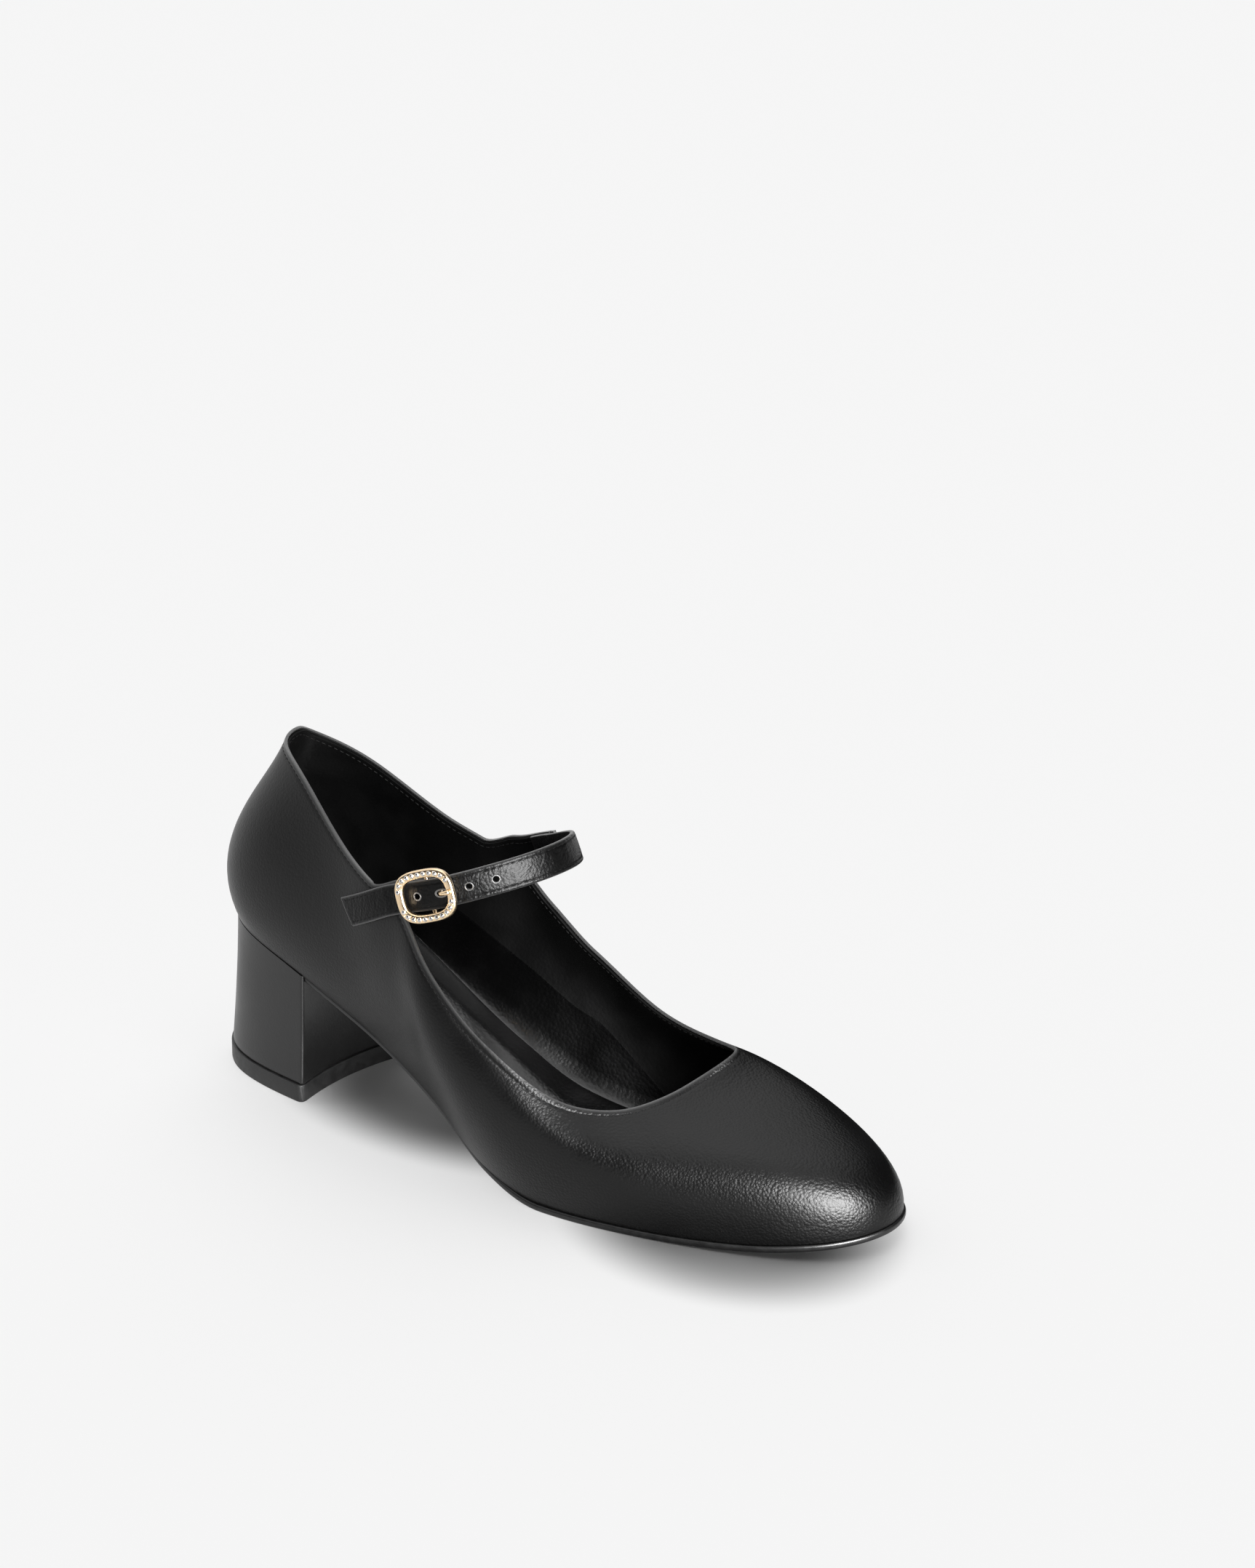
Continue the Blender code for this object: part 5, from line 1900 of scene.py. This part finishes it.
@dataclass
class Buckle:
    """The rounded frame with its middle bar, its stones and its prong."""

    path: StrapPath
    length: float = 0.0200
    width: float = 0.0163
    band: float = 0.0026
    thickness: float = 0.0017
    squareness: float = 3.0
    bar: float = 0.0014
    prong: float = 0.0012
    stone: float = 0.00150
    stone_spacing: float = 0.00186
    arcs: tuple[tuple[float, float], ...] = ((-166.0, -24.0), (16.0, 158.0))
    steps: int = 168
    section: tuple[tuple[float, float], ...] = (
        (0.0, 0.12), (0.05, 0.02), (0.16, 0.0), (0.5, 0.0), (0.84, 0.0), (0.95, 0.02), (1.0, 0.12),
        (1.0, 0.55), (0.97, 0.72), (0.90, 0.87), (0.80, 0.96), (0.66, 0.99), (0.5, 1.0), (0.34, 0.99),
        (0.20, 0.96), (0.10, 0.87), (0.03, 0.72), (0.0, 0.55))
    bar_taper: tuple[float, ...] = (0.5, 0.5, 0.6, 1.0, 1.0, 0.6, 0.5, 0.5)

    def place(self, along: float, across: float, height: float) -> Points:
        """A point in the buckle's own directions."""
        point, ahead, normal, side = self.path.frame(self.path.buckle_place)
        return point + ahead * along + side * across + normal * height

    def oval(self, inset: float, turn: float) -> tuple[float, float]:
        """A point of the rounded outline.

        Args:
            inset: how far inside the outer edge.
            turn: the angle round it.

        Returns:
            Distances along and across.
        """
        power = 2.0 / self.squareness
        cosine, sine = math.cos(turn), math.sin(turn)
        return ((self.length / 2.0 - inset) * math.copysign(abs(cosine) ** power, cosine),
                (self.width / 2.0 - inset) * math.copysign(abs(sine) ** power, sine))

    def frame(self) -> Thing:
        """Make the frame with its bar.

        Returns:
            The object.
        """
        floor = self.path.frame_floor
        points = [self.place(*self.oval(self.band * share, turn), floor + height * self.thickness)
                  for turn in turns(self.steps) for share, height in self.section]
        ring = (points, tube_faces(self.steps, len(self.section), closed=True))
        rail = (self.width - self.band) / 2.0 + 0.0004
        top, low, bend = floor + self.thickness * 0.5, self.path.last.clearance + self.bar / 2.0, self.bar
        half = ((rail, top), (rail, low + 0.43 * bend), (rail - 0.3 * bend, low + 0.07 * bend),
                (rail - 0.8 * bend, low))
        knots = [(-across, height) for across, height in half] + list(half[::-1])
        route = np.array([self.place(0.0, across, height) for across, height in knots])
        bar = round_bar(route, [self.bar * size for size in self.bar_taper], 16)
        return joined("buckle_rim", [ring, bar])

    def prong_bar(self) -> Thing:
        """Make the prong, up through the strap and over the frame's front end.

        Returns:
            The object.
        """
        path, clearance = self.path, self.path.last.clearance
        rest = path.frame_floor + self.thickness + clearance * 0.4 + self.prong / 2.0
        low = clearance + self.prong / 2.0
        start = self.bar / 2.0 + self.prong / 2.0 + clearance
        end = self.length / 2.0 - 0.3 * self.band
        hole = path.prong_hole
        knots = ((start, low), (hole - self.prong, low), (hole + self.prong, rest - 0.0003),
                 (end - 1.6 * self.prong, rest), (end, rest))
        alongs = np.linspace(start, end, 60)
        heights = steady_curve([knot[0] for knot in knots], [knot[1] for knot in knots], alongs)
        route = np.array([self.place(along, 0.0, height) for along, height in zip(alongs, heights)])
        widths = []
        for number in range(len(alongs)):
            tip = math.sqrt(max(0.05, 1.0 - max(0.0, (number - 54) / 5.0) ** 2))
            widths.append(self.prong * (1.0 + 0.35 * float(smooth_step((number - 38) / 14.0))) * tip)
        return joined("prong_bar", [round_bar(route, widths)])

    def stones(self) -> list[Thing]:
        """Set the two arcs of stones into the frame, with a bead of metal round each stone.

        Returns:
            The pieces.
        """
        height = self.path.frame_floor + self.thickness
        arcs = []
        for first, last_turn in self.arcs:
            arcs.append(np.array([self.place(*self.oval(self.band * 0.5, turn), height)
                                  for turn in np.radians(np.linspace(first, last_turn, 200))]))
        facing = self.path.frame(self.path.buckle_place)[2]
        gems = Row(Repeat.STONE, self.stone_spacing, self.stone, self.stone, self.stone * 0.62, 11)
        made = [gems.lay("buckle_stones", arcs, FINISHES.stone.make(), facing)]
        beads = []
        for arc in arcs:
            even = evened(arc, self.stone_spacing)
            along = unit(np.gradient(even, axis=0))
            across = np.cross(along, facing)
            middles = (even[:-1] + even[1:]) / 2.0
            sideways = unit(across[:-1] + across[1:]) * self.stone * 0.36
            for middle, shift in zip(middles, sideways):
                for sign in (-1.0, 1.0):
                    grain = middle + shift * sign
                    beads.append(np.array([grain, grain + along[0] * 1e-5]))
        grains = Row(Repeat.BEAD, 1e-3, 0.00042, 0.00042, 0.00036, 13)
        made.append(grains.lay("buckle_grains", beads, FINISHES.gold.make(), facing))
        return made

    def make(self) -> list[Thing]:
        """Make the buckle.

        Returns:
            The pieces.
        """
        rim, prong = self.frame(), self.prong_bar()
        for piece in (rim, prong):
            settle(dress(piece, FINISHES.gold), 45.0)
        pieces = [ship(rim, "buckle_frame"), ship(prong, "buckle_prong")]
        return pieces + [ship(piece) for piece in self.stones()]


@dataclass(frozen=True)
class Lamp:
    """A soft light box."""

    name: str
    centre: tuple[float, float, float]
    aim: tuple[float, float, float]
    size: tuple[float, float]
    power: float
    gloss_only: bool = False

    def make(self) -> Thing:
        """Hang the light.

        Returns:
            The lamp.
        """
        data = bpy.data.lights.new(self.name, "AREA")
        data.shape = "RECTANGLE"
        data.size, data.size_y = self.size
        data.energy = self.power
        lamp = bpy.data.objects.new(self.name, data)
        lamp.location = self.centre
        direction = Vector(self.aim) - Vector(self.centre)
        lamp.rotation_euler = direction.to_track_quat("-Z", "Y").to_euler()
        lamp.visible_diffuse = not self.gloss_only
        return link(lamp)


@dataclass
class Studio:
    """The pale floor, the soft light and the camera."""

    azimuth: float = 38.5
    elevation: float = 25.5
    pivot: tuple[float, float, float] = (0.10365, 0.0, 0.03)
    away: float = 2.0
    right: float = 0.018933
    up: float = 0.085917
    lens: float = 150.8
    sky: float = 0.03
    ceiling: float = 1.20
    back_wall: float = 1.10
    back_wall_at: tuple[float, float] = (160.0, 30.0)
    sun: float = 0.55
    sun_at: tuple[float, float] = (125.0, 62.0)
    sun_spread: float = 50.0
    lamps: tuple[Lamp, ...] = (
        Lamp("toe_light", (1.80, -0.86, 0.73), (0.19, 0.0, 0.03), (1.3, 1.5), 310.0, True),
    )
    card_from: tuple[float, float] = (0.020, 0.072)
    card_to: tuple[float, float] = (0.300, 0.092)
    card_height: float = 0.075
    floor_half: float = 14.0

    def light(self) -> None:
        """Set the sky, the overhead light and the light boxes."""
        world = bpy.data.worlds.new("soft_room")
        world.use_nodes = True
        tree = world.node_tree
        turn, rise = (math.radians(angle) for angle in self.back_wall_at)
        wall = (math.cos(turn) * math.cos(rise), math.sin(turn) * math.cos(rise), math.sin(rise))
        place = grow(tree, "ShaderNodeTexCoord", {}).outputs["Generated"]
        total = self.sky
        for towards, low, high, strength in ((UP, 0.75, 0.95, self.ceiling),
                                             (wall, 0.35, 0.75, self.back_wall)):
            facing = grow(tree, "ShaderNodeVectorMath", {0: place, 1: towards}, operation="DOT_PRODUCT")
            shine = eased(tree, facing.outputs["Value"], low, high, 0.0, strength)
            total = grow(tree, "ShaderNodeMath", {0: shine, 1: total}).outputs["Value"]
        feed(tree, tree.nodes["Background"], {"Color": WHITE, "Strength": total})
        bpy.context.scene.world = world
        data = bpy.data.lights.new("high_light", "SUN")
        data.energy = self.sun
        data.angle = math.radians(self.sun_spread)
        sun = bpy.data.objects.new("high_light", data)
        turn, rise = (math.radians(angle) for angle in self.sun_at)
        sun.rotation_euler = (HALF_TURN / 2.0 - rise, 0.0, turn + HALF_TURN / 2.0)
        sun.visible_glossy = False
        link(sun)
        for lamp in self.lamps:
            lamp.make()

    def floor(self) -> Thing:
        """Lay the pale floor.

        Returns:
            The floor.
        """
        half = self.floor_half
        corners = [(-half, -half, 0.0), (half, -half, 0.0), (half, half, 0.0), (-half, half, 0.0)]
        floor = dress(make_mesh("studio_floor", corners, [(0, 1, 2, 3)]), FINISHES.paper)
        return floor

    def card(self) -> Thing:
        """Stand a black card beside the shoe, which only its gloss sees.

        Returns:
            The card.
        """
        start, end = self.card_from, self.card_to
        corners = [(*start, 0.001), (*end, 0.001), (*end, self.card_height), (*start, self.card_height)]
        card = dress(make_mesh("black_card", corners, [(0, 1, 2, 3)]), FINISHES.card)
        card.visible_camera = card.visible_shadow = False
        card.visible_diffuse = card.visible_transmission = False
        return card

    def camera(self) -> Thing:
        """Set the camera at the photograph's angle.

        Returns:
            The camera.
        """
        turn, rise = math.radians(self.azimuth), math.radians(self.elevation)
        right = Vector((math.cos(turn), math.sin(turn), 0.0))
        up = Vector((-math.sin(turn) * math.sin(rise), math.cos(turn) * math.sin(rise), math.cos(rise)))
        back = Vector((math.sin(turn) * math.cos(rise), -math.cos(turn) * math.cos(rise), math.sin(rise)))
        data = bpy.data.cameras.new("camera")
        data.sensor_fit = "VERTICAL"
        data.sensor_height = 36.0
        data.lens = self.lens
        data.clip_start, data.clip_end = 0.1, 60.0
        camera = bpy.data.objects.new("camera", data)
        camera.location = Vector(self.pivot) + back * self.away + right * self.right + up * self.up
        camera.rotation_euler = (HALF_TURN / 2.0 - rise, 0.0, turn)
        bpy.context.scene.camera = link(camera)
        return camera


def main() -> None:
    """Build the shoe, light it and set the camera."""
    logging.basicConfig(level=logging.INFO, format="%(message)s")
    heel = Heel(LAST)
    builders = (Upper(LAST, PATH), Insole(LAST), heel, Outsole(LAST, heel), Strap(PATH), Buckle(PATH))
    total = sum(triangles(piece) for builder in builders for piece in builder.make())
    LOG.info("whole shoe: %d triangles", total)
    studio = Studio()
    studio.floor()
    studio.card()
    studio.light()
    studio.camera()
    bpy.context.scene.view_settings.view_transform = "Standard"


if __name__ == "__main__":
    main()
